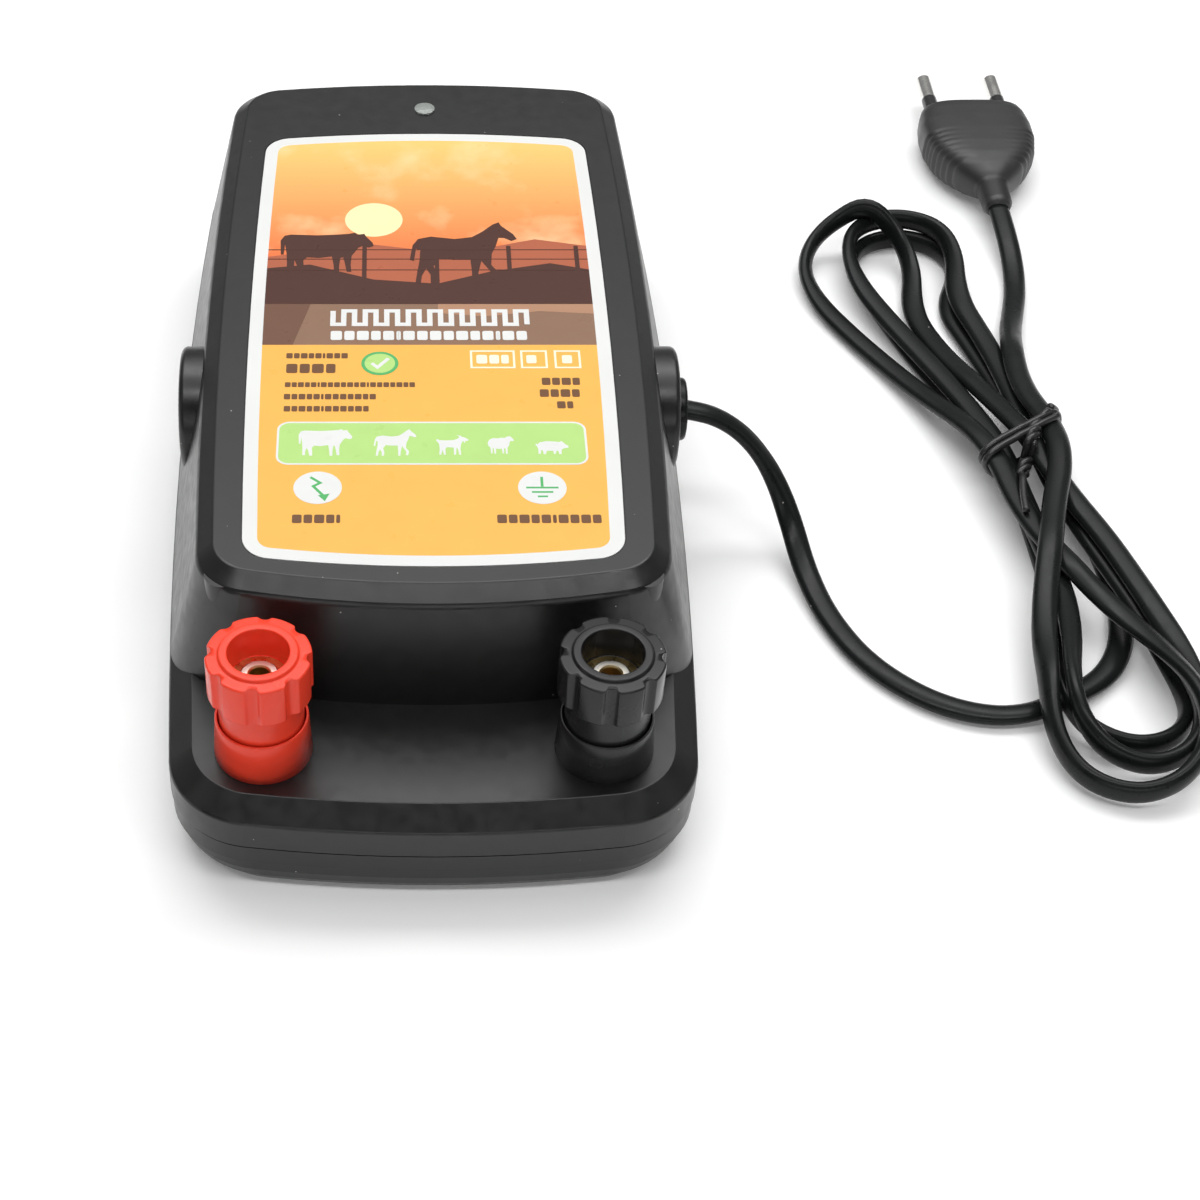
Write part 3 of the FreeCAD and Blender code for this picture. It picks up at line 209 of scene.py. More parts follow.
# Each lamp of the arch: name, elevation from the front and depth along the arch in degrees, radiance.
ARCH_LAMPS = (
    ("front_low", 20.0, 14.0, 2.0), ("shoulder", 72.0, 10.0, 6.8), ("top", 97.0, 20.0, 1.2),
    ("top_rear", 114.0, 14.0, 5.3), ("rear", 128.0, 14.0, 2.4), ("rear_low", 142.0, 14.0, 0.7),
)
SIDE_LAMPS = (("left", (-1.2, -0.33, 0.45)), ("right", (1.3, -0.33, 0.45)))
SIDE_RADIANCE = 0.6
FLOOR_GLOW = 0.10
ARCH_CENTRE = Vector((0.05, -0.05, 0.03))
ARCH_RADIUS = 1.25
ARCH_WIDTH = 1.5
SIDE_LAMP_SIZE = (0.4, 0.9)

# ---------------------------------------------------------------- camera, floor, light
def metres(point):
    return Vector(point) * MM


def link(obj):
    bpy.context.scene.collection.objects.link(obj)
    return obj


def make_camera():
    data = bpy.data.cameras.new("camera")
    data.lens = CAMERA_LENS
    data.sensor_width = CAMERA_SENSOR
    data.shift_x = CAMERA_SHIFT
    camera = link(bpy.data.objects.new("camera", data))
    camera.location = CAMERA_PLACE
    camera.rotation_euler = (math.radians(CAMERA_TILT), 0.0, 0.0)
    bpy.context.scene.camera = camera


def make_softbox(name, place, target, width, height, radiance):
    """Rectangular lamp facing the target; its brightness is given as radiance."""
    data = bpy.data.lights.new(name, "AREA")
    data.shape = "RECTANGLE"
    data.size = width
    data.size_y = height
    data.energy = radiance * math.pi * width * height
    lamp = link(bpy.data.objects.new(name, data))
    lamp.location = place
    lamp.rotation_euler = (Vector(target) - Vector(place)).to_track_quat("-Z", "Y").to_euler()


def make_arch_lamp(name, elevation, span, radiance):
    """Softbox on an arch over the object: elevation from the front and depth along the arch in degrees."""
    around = math.radians(elevation)
    place = ARCH_CENTRE + ARCH_RADIUS * Vector((0.0, -math.cos(around), math.sin(around)))
    depth = 2.0 * ARCH_RADIUS * math.tan(0.5 * math.radians(span))
    make_softbox(name, place, ARCH_CENTRE, ARCH_WIDTH, depth, radiance)


def make_world():
    """White backdrop; what it reflects in the object is grey, and brighter behind than in front."""
    world = bpy.data.worlds.new("studio")
    bpy.context.scene.world = world
    world.use_nodes = True
    tree = world.node_tree
    background = tree.nodes["Background"]
    direction = tree.nodes.new("ShaderNodeTexCoord")
    split = tree.nodes.new("ShaderNodeSeparateXYZ")
    ramp = tree.nodes.new("ShaderNodeValToRGB")
    for stop, (position, grey) in zip(ramp.color_ramp.elements, (WORLD_FRONT, WORLD_REAR)):
        stop.position = position
        stop.color = (grey, grey, grey, 1.0)
    middle = tree.nodes.new("ShaderNodeMath")
    middle.operation = "MULTIPLY_ADD"
    middle.inputs[1].default_value = 0.5
    middle.inputs[2].default_value = 0.5
    tree.links.new(direction.outputs["Generated"], split.inputs[0])
    tree.links.new(split.outputs["Y"], middle.inputs[0])
    tree.links.new(middle.outputs[0], ramp.inputs[0])
    seen = tree.nodes.new("ShaderNodeLightPath")
    shown = tree.nodes.new("ShaderNodeMix")
    shown.data_type = "RGBA"
    shown.inputs[7].default_value = WHITE
    tree.links.new(seen.outputs["Is Camera Ray"], shown.inputs["Factor"])
    tree.links.new(ramp.outputs[0], shown.inputs[6])
    tree.links.new(shown.outputs[2], background.inputs[0])


def make_floor(material):
    mesh = bpy.data.meshes.new("floor")
    corners = ((-1, -1), (1, -1), (1, 1), (-1, 1))
    mesh.from_pydata([(x * FLOOR_HALF, y * FLOOR_HALF, 0.0) for x, y in corners], [], [(0, 1, 2, 3)])
    mesh.materials.append(material)
    floor = link(bpy.data.objects.new("floor", mesh))
    floor.location.z = -FLOOR_DROP


# ---------------------------------------------------------------- mesh helpers
def mesh_object(name, vertices, faces, smooth=True):
    """Mesh object from points in metres and faces, with its normals made to face outwards."""
    mesh = bpy.data.meshes.new(name)
    mesh.from_pydata([tuple(v) for v in vertices], [], faces)
    editor = bmesh.new()
    editor.from_mesh(mesh)
    bmesh.ops.recalc_face_normals(editor, faces=editor.faces)
    editor.to_mesh(mesh)
    editor.free()
    for polygon in mesh.polygons:
        polygon.use_smooth = smooth
    return link(bpy.data.objects.new(name, mesh))


def skin_rings(rings, closed=False):
    """Vertices and faces of a tube through rings that all have the same number of points."""
    count = len(rings[0])
    vertices = [point for ring in rings for point in ring]
    faces = []
    last = len(rings) if closed else len(rings) - 1
    for index in range(last):
        here = index * count
        there = ((index + 1) % len(rings)) * count
        for side in range(count):
            after = (side + 1) % count
            faces.append((here + side, here + after, there + after, there + side))
    if not closed:
        faces.append(tuple(range(count - 1, -1, -1)))
        faces.append(tuple(range((len(rings) - 1) * count, len(rings) * count)))
    return vertices, faces


def finish_piece(piece, material, body="case", replaced=()):
    piece.data.materials.append(material)
    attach(piece, body)
    if replaced:
        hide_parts(*replaced)
    return piece


# ---------------------------------------------------------------- materials
def srgb(red, green, blue):
    """Linear colour of an 8-bit screen colour."""
    def linear(value):
        share = value / 255.0
        return share / 12.92 if share <= 0.04045 else ((share + 0.055) / 1.055) ** 2.4
    return (linear(red), linear(green), linear(blue), 1.0)


class Finish:
    """Principled material built node by node; all patterns are in the object's own coordinates."""

    def __init__(self, name, roughness, metallic=0.0, coat=0.0, specular=0.5):
        self.material = bpy.data.materials.new(name)
        self.material.use_nodes = True
        self.tree = self.material.node_tree
        self.shader = self.tree.nodes["Principled BSDF"]
        self.shader.inputs["Metallic"].default_value = metallic
        self.shader.inputs["Coat Weight"].default_value = coat
        self.shader.inputs["Coat Roughness"].default_value = 0.12
        self.shader.inputs["Specular IOR Level"].default_value = specular
        self.roughness = roughness
        self.place = self.tree.nodes.new("ShaderNodeTexCoord").outputs["Object"]

    def add(self, kind, links=(), **settings):
        node = self.tree.nodes.new(kind)
        for key, value in settings.items():
            setattr(node, key, value)
        for socket, source in links:
            if isinstance(source, bpy.types.NodeSocket):
                self.tree.links.new(source, node.inputs[socket])
            else:
                node.inputs[socket].default_value = source
        return node

    def noise(self, size_mm, detail=3.0):
        """Noise whose features are about the given size."""
        node = self.add("ShaderNodeTexNoise", (("Vector", self.place), ("Scale", 1.0 / (size_mm * MM)),
                                               ("Detail", detail)))
        return node.outputs["Fac"]

    def span(self, value, low, high, start=0.3, end=0.7):
        node = self.add("ShaderNodeMapRange", (("Value", value), ("From Min", start), ("From Max", end),
                                               ("To Min", low), ("To Max", high)))
        return node.outputs["Result"]

    def mix(self, share, first, second):
        node = self.add("ShaderNodeMix", (("Factor", share),), data_type="RGBA")
        for socket, source in ((6, first), (7, second)):
            if isinstance(source, bpy.types.NodeSocket):
                self.tree.links.new(source, node.inputs[socket])
            else:
                node.inputs[socket].default_value = source
        return node.outputs[2]

    def varied(self, colour, variation, patch_mm):
        """Colour that drifts a little lighter and darker in patches."""
        low = (*[c * (1.0 - variation) for c in colour[:3]], 1.0)
        high = (*[min(1.0, c * (1.0 + variation)) for c in colour[:3]], 1.0)
        return self.mix(self.span(self.noise(patch_mm), 0.0, 1.0), low, high)

    def dusted(self, colour, cell_mm, speck_mm, share, dust):
        """Scattered specks: a share of the cells has one speck each."""
        cells = self.add("ShaderNodeTexVoronoi", (("Vector", self.place), ("Scale", 1.0 / (cell_mm * MM))))
        near = self.add("ShaderNodeMath", ((0, cells.outputs["Distance"]), (1, 0.5 * speck_mm / cell_mm)),
                        operation="LESS_THAN")
        pick = self.add("ShaderNodeSeparateColor", (("Color", cells.outputs["Color"]),))
        some = self.add("ShaderNodeMath", ((0, pick.outputs[0]), (1, share)), operation="LESS_THAN")
        both = self.add("ShaderNodeMath", ((0, near.outputs[0]), (1, some.outputs[0])), operation="MULTIPLY")
        return self.mix(both.outputs[0], colour, dust)

    def close(self, colour, grain_mm, relief_mm, uneven=0.05):
        """Connect colour, roughness and the fine surface relief."""
        rough = self.span(self.noise(grain_mm * 9.0), self.roughness - uneven, self.roughness + uneven)
        self.tree.links.new(rough, self.shader.inputs["Roughness"])
        self.tree.links.new(colour, self.shader.inputs["Base Color"])
        bump = self.add("ShaderNodeBump", (("Height", self.noise(grain_mm, 2.0)), ("Strength", 1.0),
                                           ("Distance", relief_mm * MM)))
        self.tree.links.new(bump.outputs[0], self.shader.inputs["Normal"])
        return self.material


# Finish of each material slot: roughness, metallic, coat, grain size, relief, colour variation, dust share.
FINISHES = {
    "case_plastic": (0.33, 0.0, 0.0, 0.35, 0.002, 0.10, 0.60),
    "cover_plastic": (0.33, 0.0, 0.0, 0.35, 0.002, 0.10, 0.35),
    "seal_rubber": (0.70, 0.0, 0.0, 0.30, 0.010, 0.15, 0.0),
    "label_film": (0.34, 0.0, 0.0, 0.60, 0.004, 0.02, 0.10),
    "screw_steel": (0.32, 1.0, 0.0, 0.25, 0.006, 0.12, 0.0),
    "red_plastic": (0.23, 0.0, 0.0, 0.90, 0.0003, 0.04, 0.12),
    "black_post_plastic": (0.24, 0.0, 0.0, 0.90, 0.0003, 0.08, 0.20),
    "nickel_plate": (0.34, 1.0, 0.0, 0.35, 0.006, 0.10, 0.0),
    "insert_brass": (0.28, 1.0, 0.0, 0.30, 0.006, 0.12, 0.0),
    "tinned_tag": (0.35, 1.0, 0.0, 0.40, 0.006, 0.08, 0.0),
    "board_laminate": (0.35, 0.0, 0.2, 0.35, 0.012, 0.20, 0.0),
    "core_steel": (0.42, 0.6, 0.0, 0.50, 0.020, 0.25, 0.0),
    "bobbin_nylon": (0.45, 0.0, 0.0, 0.60, 0.008, 0.05, 0.0),
    "coil_tape": (0.28, 0.0, 0.2, 1.20, 0.040, 0.12, 0.0),
    "capacitor_case": (0.30, 0.0, 0.1, 0.90, 0.010, 0.12, 0.0),
    "resistor_ceramic": (0.65, 0.0, 0.0, 0.25, 0.030, 0.06, 0.0),
    "component_black": (0.50, 0.0, 0.0, 0.20, 0.015, 0.15, 0.0),
    "capacitor_sleeve": (0.25, 0.0, 0.2, 0.90, 0.010, 0.12, 0.0),
    "heat_sink_aluminium": (0.45, 0.9, 0.0, 0.25, 0.010, 0.15, 0.0),
    "fuse_glass": (0.08, 0.0, 0.0, 1.50, 0.004, 0.02, 0.0),
    "terminal_green": (0.38, 0.0, 0.0, 0.50, 0.010, 0.10, 0.0),
    "led_green": (0.16, 0.0, 0.2, 1.00, 0.004, 0.05, 0.0),
    "clear_lens": (0.14, 0.0, 0.2, 1.00, 0.004, 0.03, 0.0),
    "wire_red": (0.35, 0.0, 0.0, 0.40, 0.006, 0.08, 0.0),
    "wire_black": (0.35, 0.0, 0.0, 0.40, 0.006, 0.10, 0.0),
    "wire_brown": (0.35, 0.0, 0.0, 0.40, 0.006, 0.10, 0.0),
    "wire_blue": (0.35, 0.0, 0.0, 0.40, 0.006, 0.08, 0.0),
    "lead_pvc": (0.30, 0.0, 0.0, 0.35, 0.010, 0.12, 0.04),
    "tie_plastic": (0.30, 0.0, 0.0, 0.40, 0.010, 0.12, 0.0),
    "plug_pvc": (0.42, 0.0, 0.0, 0.35, 0.014, 0.12, 0.10),
    "pin_nickel": (0.18, 1.0, 0.0, 0.40, 0.004, 0.08, 0.0),
}
PLAIN_SPECULAR = 0.5
SPECULAR = {"red_plastic": 0.3, "lead_pvc": 0.2, "black_post_plastic": 0.3, "label_film": 0.2}
CLEAR_TRANSMISSION = 0.7
TINT_PATCH = 18.0
COLOURS = {
    "label_film": srgb(224, 225, 223), "red_plastic": (0.90, 0.058, 0.026, 1.0),
    "case_plastic": (0.008, 0.008, 0.008, 1.0), "cover_plastic": (0.009, 0.009, 0.009, 1.0),
    "lead_pvc": (0.009, 0.010, 0.010, 1.0),
}
CLEAR_SLOTS = ("fuse_glass", "clear_lens")
DUST = srgb(172, 170, 165)
DUST_CELL = 4.6
DUST_SPECK = 0.30


def slot_colour(slot):
    for entry in frame["record"]["materials"]:
        if entry["slot"] == slot:
            return (*entry["base_color"][:3], 1.0)
    raise ValueError(slot)


def make_slot_material(slot):
    roughness, metallic, coat, grain, relief, variation, dust = FINISHES[slot]
    finish = Finish(slot + "_finish", roughness, metallic, coat, SPECULAR.get(slot, PLAIN_SPECULAR))
    tint = finish.varied(COLOURS.get(slot) or slot_colour(slot), variation, TINT_PATCH)
    if dust:
        tint = finish.dusted(tint, DUST_CELL, DUST_SPECK, dust, DUST)
    if slot in CLEAR_SLOTS:
        finish.shader.inputs["Transmission Weight"].default_value = CLEAR_TRANSMISSION
    return finish.close(tint, grain, relief)


def make_pin_material(slot):
    """Nickel pin with a black insulating sleeve on the half next to the plug."""
    finish = Finish("pin_finish", 0.2)
    split = finish.add("ShaderNodeSeparateXYZ", (("Vector", finish.place),))
    bare = finish.span(split.outputs["Y"], 0.0, 1.0, PIN_SLEEVE_END * MM, (PIN_SLEEVE_END + 0.2) * MM)
    colour = finish.mix(bare, slot_colour("plug_pvc"), slot_colour(slot))
    finish.tree.links.new(bare, finish.shader.inputs["Metallic"])
    return finish.close(colour, 0.4, 0.004)


def make_stud_material(slot):
    """Nickel-plated stud whose socket shows the brass inside."""
    finish = Finish("stud_finish", FINISHES[slot][0], 1.0)
    split = finish.add("ShaderNodeSeparateXYZ", (("Vector", finish.place),))
    across = finish.add("ShaderNodeMath", ((0, split.outputs["X"]),), operation="ABSOLUTE")
    flat = finish.add("ShaderNodeCombineXYZ", (("X", across.outputs[0]), ("Y", split.outputs["Y"])))
    away = finish.add("ShaderNodeVectorMath", ((0, flat.outputs[0]), (1, metres((POST_X, POST_Y, 0.0)))),
                      operation="DISTANCE")
    plated = finish.span(away.outputs["Value"], 0.0, 1.0, 2.1 * MM, 2.5 * MM)
    colour = finish.mix(plated, slot_colour("insert_brass"), slot_colour(slot))
    return finish.close(colour, 0.5, 0.003)


SPECIAL_FINISHES = {"pin_nickel": make_pin_material, "nickel_plate": make_stud_material}


def make_floor_material():
    finish = Finish("floor_finish", 0.6, specular=0.2)
    finish.shader.inputs["Emission Color"].default_value = WHITE
    finish.shader.inputs["Emission Strength"].default_value = FLOOR_GLOW
    return finish.close(finish.varied((0.93, 0.93, 0.93, 1.0), 0.01, 60.0), 1.5, 0.01)


# ---------------------------------------------------------------- turned and moulded pieces
def turned(name, profile, x, y, steps, shape=None):
    """Closed solid turned about an upright axis from a closed profile of (radius, height), in mm."""
    rings = []
    for step in range(steps):
        around = 2.0 * math.pi * step / steps
        ring = []
        for radius, height in profile:
            reach = shape(around, radius) if shape else radius
            ring.append(Vector((x + reach * math.cos(around), y + reach * math.sin(around), height)) * MM)
        rings.append(ring)
    return mesh_object(name, *skin_rings(rings, closed=True))


def rounded_profile(corners):
    """Closed profile with each corner (radius, height, rounding) turned into a small arc."""
    profile = []
    count = len(corners)
    for index, (radius, height, rounding) in enumerate(corners):
        here = Vector((radius, height))
        before = Vector(corners[index - 1][:2]) - here
        after = Vector(corners[(index + 1) % count][:2]) - here
        if rounding <= 0.0:
            profile.append(tuple(here))
            continue
        start = here + before.normalized() * min(rounding, 0.45 * before.length)
        end = here + after.normalized() * min(rounding, 0.45 * after.length)
        for step in range(CORNER_STEPS + 1):
            share = step / CORNER_STEPS
            point = start * (1 - share) ** 2 + here * 2 * share * (1 - share) + end * share ** 2
            profile.append(tuple(point))
    return profile


def fluted(around, radius):
    """Radius of the knob's head where its grip flutes are cut in."""
    if radius < KNOB_GRIP_FROM:
        return radius
    pitch = 2.0 * math.pi / FLUTE_COUNT
    away = (around - math.radians(FLUTE_PHASE) + 0.5 * pitch) % pitch - 0.5 * pitch
    sideways = FLUTE_CENTRE * math.sin(away)
    if abs(sideways) >= FLUTE_RADIUS:
        return radius
    floor = FLUTE_CENTRE * math.cos(away) - math.sqrt(FLUTE_RADIUS ** 2 - sideways ** 2)
    return min(radius, floor)


def on_ledge(profile):
    """Rounded profile of a piece that stands on the ledge."""
    return rounded_profile([(radius, LEDGE_Z + height, rounding) for radius, height, rounding in profile])


def make_post(colour, side, material):
    """Collar and knob of one binding post."""
    x = side * POST_X
    collar = turned(colour + "_collar", on_ledge(COLLAR_PROFILE), x, POST_Y, COLLAR_STEPS)
    finish_piece(collar, material, "case", (colour + "_post_collar",))
    knob = turned(colour + "_grip_knob", on_ledge(KNOB_PROFILE), x, POST_Y, KNOB_STEPS, fluted)
    finish_piece(knob, material, colour + "_knob_set", (colour + "_knob",))


# ---------------------------------------------------------------- mains lead
def arc_points(fold, way, turn):
    """Points round a fold: way 1 goes over the top, -1 under the bottom; turn 1 is anticlockwise."""
    x, y, radius = fold[:3]
    first = 1 if way * turn > 0 else -1
    return [(x + first * radius * math.cos(math.radians(angle)),
             y + way * radius * math.sin(math.radians(angle))) for angle in FOLD_ANGLES]


def hank_plan():
    """Plan of the hank, turn after turn, as control points."""
    plan = []
    for rise, top, fall, bottom, climb in HANK_TURNS:
        plan += rise
        plan += arc_points(top, 1, 1)
        plan += fall
        plan += arc_points(bottom, -1, bottom[3])
        plan += climb
    return plan


def spline_points(route):
    """Points along the NURBS curve that has the route, in millimetres, as its control points."""
    curve = bpy.data.curves.new("route", "CURVE")
    curve.dimensions = "3D"
    spline = curve.splines.new("NURBS")
    spline.points.add(len(route) - 1)
    for point, place in zip(spline.points, route):
        point.co = (*metres(place), 1.0)
    spline.order_u = 3
    spline.use_endpoint_u = True
    spline.resolution_u = SPLINE_STEPS
    carrier = link(bpy.data.objects.new("route", curve))
    mesh = bpy.data.meshes.new_from_object(carrier)
    line = np.array([v.co for v in mesh.vertices]) / MM
    bpy.data.objects.remove(carrier)
    bpy.data.curves.remove(curve)
    bpy.data.meshes.remove(mesh)
    keep = np.concatenate(([True], np.linalg.norm(np.diff(line, axis=0), axis=1) > SPLINE_MERGE))
    return line[keep]


def smoothed(values, passes):
    for _ in range(passes):
        values[1:-1] = 0.25 * values[:-2] + 0.5 * values[1:-1] + 0.25 * values[2:]
    return values


def section_tilt(line):
    """How far the flat cord stands on edge at each point, 0 to 1: it does at the folds of the hank."""
    tilt = np.zeros(len(line))
    for turn in HANK_TURNS:
        for fold in (turn[1], turn[3]):
            away = np.hypot(line[:, 0] - fold[0], line[:, 1] - fold[1]) - fold[2]
            outside = np.abs(line[:, 1] - HANK_WAIST[1]) > abs(fold[1] - HANK_WAIST[1]) - FOLD_SHARE * fold[2]
            tilt[(np.abs(away) < FOLD_WIDTH) & outside] = 1.0
    return smoothed(tilt, FOLD_EASING)


def pair_gap(distance, flat, upright):
    """Height between the centrelines of two strands that touch, from their distance in plan."""
    round_part = CORD_THICKNESS ** 2 - np.clip(distance - flat, 0.0, CORD_THICKNESS) ** 2
    return np.where(distance - flat < CORD_THICKNESS, np.sqrt(round_part) + upright, 0.0)


def stacked(line, tilt):
    """The line with each later strand lifted on to the earlier ones that it lies on."""
    count = len(line)
    half_flat = 0.5 * (CORD_WIDTH - CORD_THICKNESS) * (1.0 - tilt)
    half_upright = 0.5 * (CORD_WIDTH - CORD_THICKNESS) * tilt
    waist = np.hypot(line[:, 0] - HANK_WAIST[0], line[:, 1] - HANK_WAIST[1])
    base = 0.5 * CORD_THICKNESS + half_upright + TIE_LIFT * np.exp(-(waist / WAIST_SPREAD) ** 2)
    along = np.concatenate(([0.0], np.cumsum(np.linalg.norm(np.diff(line, axis=0), axis=1))))
    plan = np.hypot(line[:, None, 0] - line[None, :, 0], line[:, None, 1] - line[None, :, 1])
    earlier = (along[:, None] - along[None, :]) > STACK_APART
    gap = pair_gap(plan, half_flat[:, None] + half_flat[None, :],
                   half_upright[:, None] + half_upright[None, :])
    near = earlier & (gap > 0.0)
    loose = (np.arange(count) > np.argmax(line[:, 0] > HANK_START_X)) & (along < along[-1] - PLUG_APPROACH)
    height = np.where(loose, base, line[:, 2])
    for _ in range(STACK_PASSES):
        wanted = np.maximum(np.where(near, height[None, :] + gap, 0.0).max(axis=1), base)
        eased = smoothed(np.maximum(height, wanted), 3)
        height = np.where(loose, np.maximum(eased, wanted), line[:, 2])
    result = line.copy()
    result[:, 2] = np.maximum(smoothed(height, 2), 0.5 * CORD_THICKNESS + half_upright)
    return result


def flat_section(tilt):
    """Outline of the twin cord's section, turned on edge by the tilt, as (across, up) pairs."""
    outline = []
    for step in range(SECTION_POINTS):
        around = 2.0 * math.pi * (step + 0.5) / SECTION_POINTS
        outline.append((0.5 * CORD_WIDTH * math.cos(around), 0.5 * CORD_THICKNESS * math.sin(around)))
    turn = 0.5 * math.pi * tilt
    return [(a * math.cos(turn) - u * math.sin(turn), a * math.sin(turn) + u * math.cos(turn))
            for a, u in outline]


def cord_rings(line, tilt):
    """Rings of the flat cord along the line; its broad side stays level unless it stands on edge."""
    heading = np.gradient(line, axis=0)
    heading /= np.linalg.norm(heading, axis=1)[:, None]
    rings = []
    for place, forward, lean in zip(line, heading, tilt):
        across = np.cross(forward, (0.0, 0.0, 1.0))
        across /= np.linalg.norm(across)
        upward = np.cross(across, forward)
        rings.append([Vector(place + across * a + upward * u) * MM for a, u in flat_section(lean)])
    return rings


def make_cord(material):
    """Mains lead: bushing, floor, three turns of the hank, tail, plug."""
    route = [CORD_START, *LEAD_ROUTE]
    route += [(x, y, LEAD_ROUTE[-1][2]) for x, y in hank_plan()]
    route += TAIL_ROUTE
    line = spline_points(route)
    tilt = section_tilt(line)
    line = stacked(line, tilt)
    cord = mesh_object("mains_cord", *skin_rings(cord_rings(line, tilt)))
    finish_piece(cord, material, replaced=("mains_lead", "lead_hank", "plug_tail"))
    return cord, line, tilt


def make_bushing(material):
    """Round moulded bushing in the right pad, with a shallow dish where the cord comes out."""
    profile = rounded_profile([(radius, PAD_FACE_X + out, rounding)
                               for radius, out, rounding in BUSHING_PROFILE])
    rings = []
    for step in range(BUSHING_STEPS):
        around = 2.0 * math.pi * step / BUSHING_STEPS
        rings.append([Vector((x, PAD_Y + radius * math.cos(around), PAD_Z + radius * math.sin(around))) * MM
                      for radius, x in profile])
    bushing = mesh_object("bushing", *skin_rings(rings, closed=True))
    finish_piece(bushing, material, replaced=("cord_bushing",))


def make_plug(material):
    """Two-pin plug with a ribbed neck and ridges where the fingers grip it."""
    span = np.arange(PLUG_FIRST_Y, PLUG_LAST_Y, PLUG_SLICE)
    rings = []
    for y in [*span, PLUG_LAST_Y]:
        half_width = np.interp(y, PLUG_STATIONS[0], PLUG_STATIONS[1])
        half_height = np.interp(y, PLUG_STATIONS[0], PLUG_STATIONS[2])
        square = np.interp(y, PLUG_SQUARE_SPAN, PLUG_SQUARE)
        if RIB_SPAN[0] < y < RIB_SPAN[1]:
            rib = RIB_HEIGHT * math.cos(math.pi * y / RIB_PITCH) ** 2
            half_width, half_height = half_width + rib, half_height + rib
        if GRIP_SPAN[0] < y < GRIP_SPAN[1]:
            half_width -= GRIP_DEPTH * math.sin(math.pi * (y - GRIP_SPAN[0]) / GRIP_PITCH) ** 2
        ring = []
        for step in range(PLUG_STEPS):
            around = 2.0 * math.pi * step / PLUG_STEPS
            cosine, sine = math.cos(around), math.sin(around)
            across = half_width * math.copysign(abs(cosine) ** (2.0 / square), cosine)
            up = half_height * math.copysign(abs(sine) ** (2.0 / square), sine)
            ring.append(Vector((PLUG_X + across, y, PLUG_Z + up)) * MM)
        rings.append(ring)
    plug = mesh_object("plug_shell", *skin_rings(rings))
    return finish_piece(plug, material, replaced=("plug_body",))


# ---------------------------------------------------------------- wire tie
def round_rings(line, radius):
    """Rings of a round wire along a line, without twist."""
    heading = np.gradient(line, axis=0)
    heading /= np.linalg.norm(heading, axis=1)[:, None]
    side = np.cross(heading[0], (0.31, 0.17, 0.93))
    rings = []
    for place, forward in zip(line, heading):
        side = side - forward * np.dot(side, forward)
        side /= np.linalg.norm(side)
        other = np.cross(forward, side)
        rings.append([Vector(place + radius * (side * math.cos(a) + other * math.sin(a))) * MM
                      for a in (2.0 * math.pi * step / TIE_SIDES for step in range(TIE_SIDES))])
    return rings


def cord_top(line, tilt, x, y):
    """Height of the cord's upper surface at a place, or of the floor where there is none."""
    away = np.hypot(line[:, 0] - x, line[:, 1] - y)
    near = away < CORD_REACH
    if not near.any():
        return 0.0
    half = 0.5 * CORD_THICKNESS + 0.5 * (CORD_WIDTH - CORD_THICKNESS) * tilt[near]
    return float((line[near, 2] + half).max())


def laid_over(points, line, tilt):
    """Points in plan put on top of the cord, with a wire's radius below them."""
    return [(x, y, cord_top(line, tilt, x, y) + TIE_WIRE) for x, y in points]


def hull_point(reach, height, tilt, around):
    """Point of the wire round a bundle of strands, in the direction around from the bundle's middle."""
    middle = np.array((0.5 * (reach.min() + reach.max()), 0.5 * (height.min() + height.max())))
    wide = 0.5 * CORD_THICKNESS + 0.5 * (CORD_WIDTH - CORD_THICKNESS) * (1.0 - tilt)
    tall = 0.5 * CORD_THICKNESS + 0.5 * (CORD_WIDTH - CORD_THICKNESS) * tilt
    nearest = None
    for step in range(HULL_STEPS):
        normal = around + (step / (HULL_STEPS - 1) - 0.5) * HULL_SPREAD
        cosine, sine = math.cos(normal), math.sin(normal)
        support = (reach * cosine + height * sine + np.hypot(wide * cosine, tall * sine)).max() + TIE_WIRE
        share = (support - middle @ (cosine, sine)) / math.cos(normal - around)
        nearest = share if nearest is None else min(nearest, share)
    return middle + nearest * np.array((math.cos(around), math.sin(around)))


